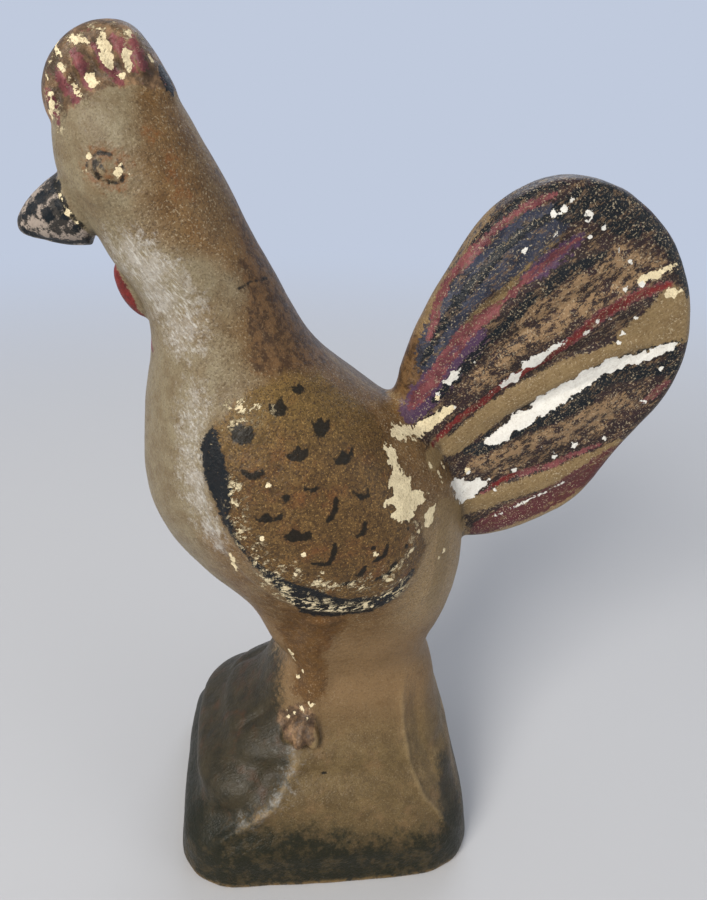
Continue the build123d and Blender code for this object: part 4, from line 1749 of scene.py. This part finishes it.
        # The first of these is dark paint with a painted bluish sky reflection.
        for coat, shade, dark, ragged in (
            (Coat.BLUE, self.blue_sheen_on_black, self.blue_sheen_on_black_dark, 0.9),
            (Coat.DARK_WINE, self.dark_wine, self.wine_dark, 0.5),
            (Coat.WINE, self.wine, self.wine_dark, 0.6),
            (Coat.RED, self.red, self.red_dark, 0.35),
            (Coat.BLACK, self.black, self.black, 0.55),
        ):
            share = cover(coat, ragged, 0.97)
            colour = mix.over(colour, (mix.over(shade, (dark, clouds)), share * whole_tail))
            painted = painted.most(share)
        crazed = pale * clouds.ramp(-0.2, 0.8)
        colour = mix.over(
            colour,
            (self.worn_black, cover(Coat.WORN_BLACK, 0.25, 0.95) * whole),
            (self.pale_speck, cover(Coat.TAIL, 0.9, 0.6) * crazed),
        )
        return colour, (lost * half * painted).most(rubbed)

    def material(self) -> bpy.types.Material:
        """Build the material.

        Returns:
            The painted finish of both halves.
        """
        mix = Layers("aged_painted_chalkware")
        grains = Grains(mix)
        colour, flecks = self.plumage(mix, grains, self.body(mix, grains))
        chipped = partial(mix.cover, grains.chip_edge, ragged=0.45, soft=0.05)
        gesso, chip = chipped(Coat.GESSO).most(flecks), chipped(Coat.CHIP)
        dirt = grains.specks * 0.3 + grains.half * 0.22
        colour = mix.over(
            colour,
            (self.dark_speck, grains.specks * 0.2),
            # Darker in every hollow, the more the deeper it is.
            (self.hollow_dark, mix.kept("hollow").ramp(*self.hollow_dark_fade, 0.65)),
            (mix.over(self.gesso, (self.tan, dirt)), gesso),
            (mix.over(self.plaster, (self.tan, dirt * 0.5)), chip),
        )
        bare = gesso.most(chip)
        height = (
            grains.pores * 0.025
            + grains.fine * 0.05
            + grains.barbs * 0.02
            + mix.cover(grains.edge, Coat.BLACK, 0.45) * 0.03
            - bare * 0.12
            - grains.pits * 0.12
        )
        return mix.finish(colour, grains.fine * 0.14 + bare * 0.45 + 0.36, height, gloss=0.24)


@dataclass(frozen=True)
class RawPlaster:
    """Unpainted plaster, poured flat or brushed on as slip.

    To the eye: a chalky cream with yellowed clouds, air bubbles and dust in the low places.

    Attributes:
        name: the material's name.
        clean: the colour of the plaster.
        yellowed: its colour where damp and dust stained it.
        cloud: the width of a stain in millimetres.
        bubble: the size of an air bubble in millimetres.
        dust: the colour of what has gathered in the bubbles.
    """

    name: str
    clean: str
    yellowed: str
    cloud: float
    bubble: float
    dust: str = "#5c4d38"

    def material(self) -> bpy.types.Material:
        """Build the material.

        Returns:
            The plaster's finish.
        """
        mix = Layers(self.name)
        stain = mix.mottle(self.cloud, 1.0, 0.35, 0.7, 5.0)
        bubbles = mix.mottle(self.bubble, 2.0, 0.66, 0.72, 1.0)
        grain = mix.mottle(0.4, 3.0)
        colour = mix.over(self.clean, (self.yellowed, stain), (self.dust, bubbles * 0.7))
        return mix.finish(colour, grain * 0.1 + 0.82, grain * 0.05 - bubbles * 0.2)


# ---------------------------------------------------------------- floor, light and camera


@dataclass
class Studio:
    """A plain pale sweep with soft light from the upper left.

    Attributes:
        reach: the floor's radius in metres.
        curve: the radius in which it turns up.
        wall: the height of the wall above the curve.
        turns: the number of steps round.
        bends: the number of steps in which it turns up.
        glow_fade: the distances from the figure over which the paper's own glow grows.
        target: the point of the figure that the lamps look at.
        bearing: the camera's turn from straight at the flank, in degrees.
        fall: how steeply it looks down, in degrees.
        roll: how far it leans, in degrees.
        eye: the place of its lens.
        lens: its focal length in millimetres, on a sensor 36 mm wide.
    """

    reach: float = 1.1
    curve: float = 0.5
    wall: float = 0.5
    turns: int = 96
    bends: int = 12
    glow_fade: Range = (0.1, 0.5)
    target: tuple[float, float, float] = (0.005, 0, 0.075)
    bearing: float = 7.0
    fall: float = 28.8
    roll: float = 2.7
    eye: tuple[float, float, float] = (-0.0106, -0.1154, 0.1504)
    lens: float = 29.6

    def paper(self) -> bpy.types.Material:
        """Build the backdrop's matte paper.

        To the eye: pale and even. It keeps the figure's shadow near it, and further off it
        glows by itself, so that no lamp has to be brighter than the figure needs.

        Returns:
            The material.
        """
        mix = Layers("matte_backdrop_paper")
        colour = mix.over("#bec0c4", ("#c0cadd", mix.across.ramp(-0.1, 0.5)))
        away = add_node(mix.tree, "ShaderNodeVectorMath", {"operation": "LENGTH"}, {0: mix.place})
        seen = add_node(mix.tree, "ShaderNodeLightPath").outputs
        direct = Amount(seen["Is Camera Ray"]).most(seen["Is Glossy Ray"])
        direct = direct.most(seen["Is Transmission Ray"])
        share = Amount(away.outputs["Value"]).ramp(*self.glow_fade) * direct
        matte = add_node(mix.tree, "ShaderNodeBsdfDiffuse", None, {"Color": linear("#bfc0c3")})
        glow = add_node(mix.tree, "ShaderNodeEmission", None, {"Color": colour})
        both = {0: share, 1: matte.outputs[0], 2: glow.outputs[0]}
        surface = add_node(mix.tree, "ShaderNodeMixShader", None, both).outputs[0]
        add_node(mix.tree, "ShaderNodeOutputMaterial", None, {"Surface": surface})
        return mix.material

    def sweep(self) -> None:
        """Build the floor and the wall that rises from it all round."""
        profile = [(self.reach * 0.5, 0.0)]
        for angle in np.linspace(0, math.pi / 2, self.bends + 1):
            rise = self.curve * (1 - math.cos(angle))
            profile.append((self.reach + self.curve * math.sin(angle), rise))
        profile.append((self.reach + self.curve, self.curve + self.wall))
        form = bmesh.new()
        centre = form.verts.new((0, 0, 0))
        rings = [
            [
                form.verts.new((radius * math.cos(turn), radius * math.sin(turn), height))
                for turn in np.linspace(0, 2 * math.pi, self.turns, endpoint=False)
            ]
            for radius, height in profile
        ]
        for index in range(self.turns):
            after = (index + 1) % self.turns
            form.faces.new((centre, rings[0][index], rings[0][after]))
            for inner, outer in zip(rings, rings[1:]):
                form.faces.new((inner[index], outer[index], outer[after], inner[after]))
        bmesh.ops.recalc_face_normals(form, faces=form.faces[:])
        sweep = new_piece("backdrop", mesh_of("backdrop", form))
        sweep.data.shade_smooth()
        sweep.data.materials.append(self.paper())

    def lamp(
        self, name: str, place: tuple[float, float, float], size: float, power: float, colour: str
    ) -> None:
        """Hang one soft lamp that looks at the figure.

        Args:
            name: the lamp's name.
            place: where it hangs, in metres.
            size: the side of its square face.
            power: its power in watts.
            colour: its colour.
        """
        data = bpy.data.lights.new(name, "AREA")
        data.size, data.energy, data.color = size, power, linear(colour)[:3]
        lamp = bpy.data.objects.new(name, data)
        bpy.context.scene.collection.objects.link(lamp)
        way = Vector(self.target) - Vector(place)
        turn = way.to_track_quat("-Z", "Y").to_matrix().to_4x4()
        lamp.matrix_world = Matrix.Translation(place) @ turn

    def light(self) -> None:
        """Light the figure softly from the upper left and coolly from behind."""
        self.lamp("key", (-0.58, -0.7, 0.66), 0.5, 13.0, "#fffaf2")
        self.lamp("window", (0.25, 0.75, 0.7), 0.7, 3.6, "#e9f0fc")
        self.lamp("fill", (0.85, -0.5, 0.35), 0.6, 2.4, "#f4f4f4")
        world = bpy.data.worlds.new("room")
        world.use_nodes = True
        bpy.context.scene.world = world
        background = world.node_tree.nodes["Background"]
        background.inputs["Color"].default_value = linear("#eceff5")
        background.inputs["Strength"].default_value = 0.45

    def photograph_camera(self) -> None:
        """Set the camera as it was held for the photograph."""
        angles = (self.bearing, self.fall, self.roll)
        bearing, fall, roll = (math.radians(angle) for angle in angles)
        level = math.cos(fall)
        forward = Vector((math.sin(bearing) * level, math.cos(bearing) * level, -math.sin(fall)))
        right = Vector((math.cos(bearing), -math.sin(bearing), 0))
        up = right.cross(forward)
        across = right * math.cos(roll) + up * math.sin(roll)
        upward = up * math.cos(roll) - right * math.sin(roll)
        data = bpy.data.cameras.new("photograph")
        data.sensor_width, data.lens = 36.0, self.lens
        data.clip_start = 0.01
        camera = bpy.data.objects.new("photograph", data)
        bpy.context.scene.collection.objects.link(camera)
        turn = Matrix((across, upward, -forward)).transposed().to_4x4()
        camera.matrix_world = Matrix.Translation(self.eye) @ turn
        bpy.context.scene.camera = camera


def main() -> None:
    """Build the figure and the studio."""
    logging.basicConfig(level=logging.INFO, format="%(name)s: %(message)s")
    paint = PaintedChalkware().material()
    halves = Casting().build(paint)
    for flank, node, half in zip((-1, 1), ("left_half", "right_half"), halves):
        Painter(flank).paint(half, PaintPlan())
        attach(half, "root")
        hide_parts(node)
        log.info("%s replaces %s", half.name, node)
    raw = {
        "seam_bead": RawPlaster("plaster_slip", "#d9d2bf", "#b7a684", 9.0, 1.0),
        "base_disc": RawPlaster("poured_plaster", "#c2b69c", "#917c5a", 14.0, 1.5),
    }
    for node, plaster in raw.items():
        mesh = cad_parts[node].data
        mesh.materials.clear()
        mesh.materials.append(plaster.material())
        log.info("%s is %s", node, plaster.name)
    studio = Studio()
    studio.sweep()
    studio.light()
    studio.photograph_camera()
    bpy.context.scene.view_settings.view_transform = "Standard"


if __name__ == "__main__":
    main()
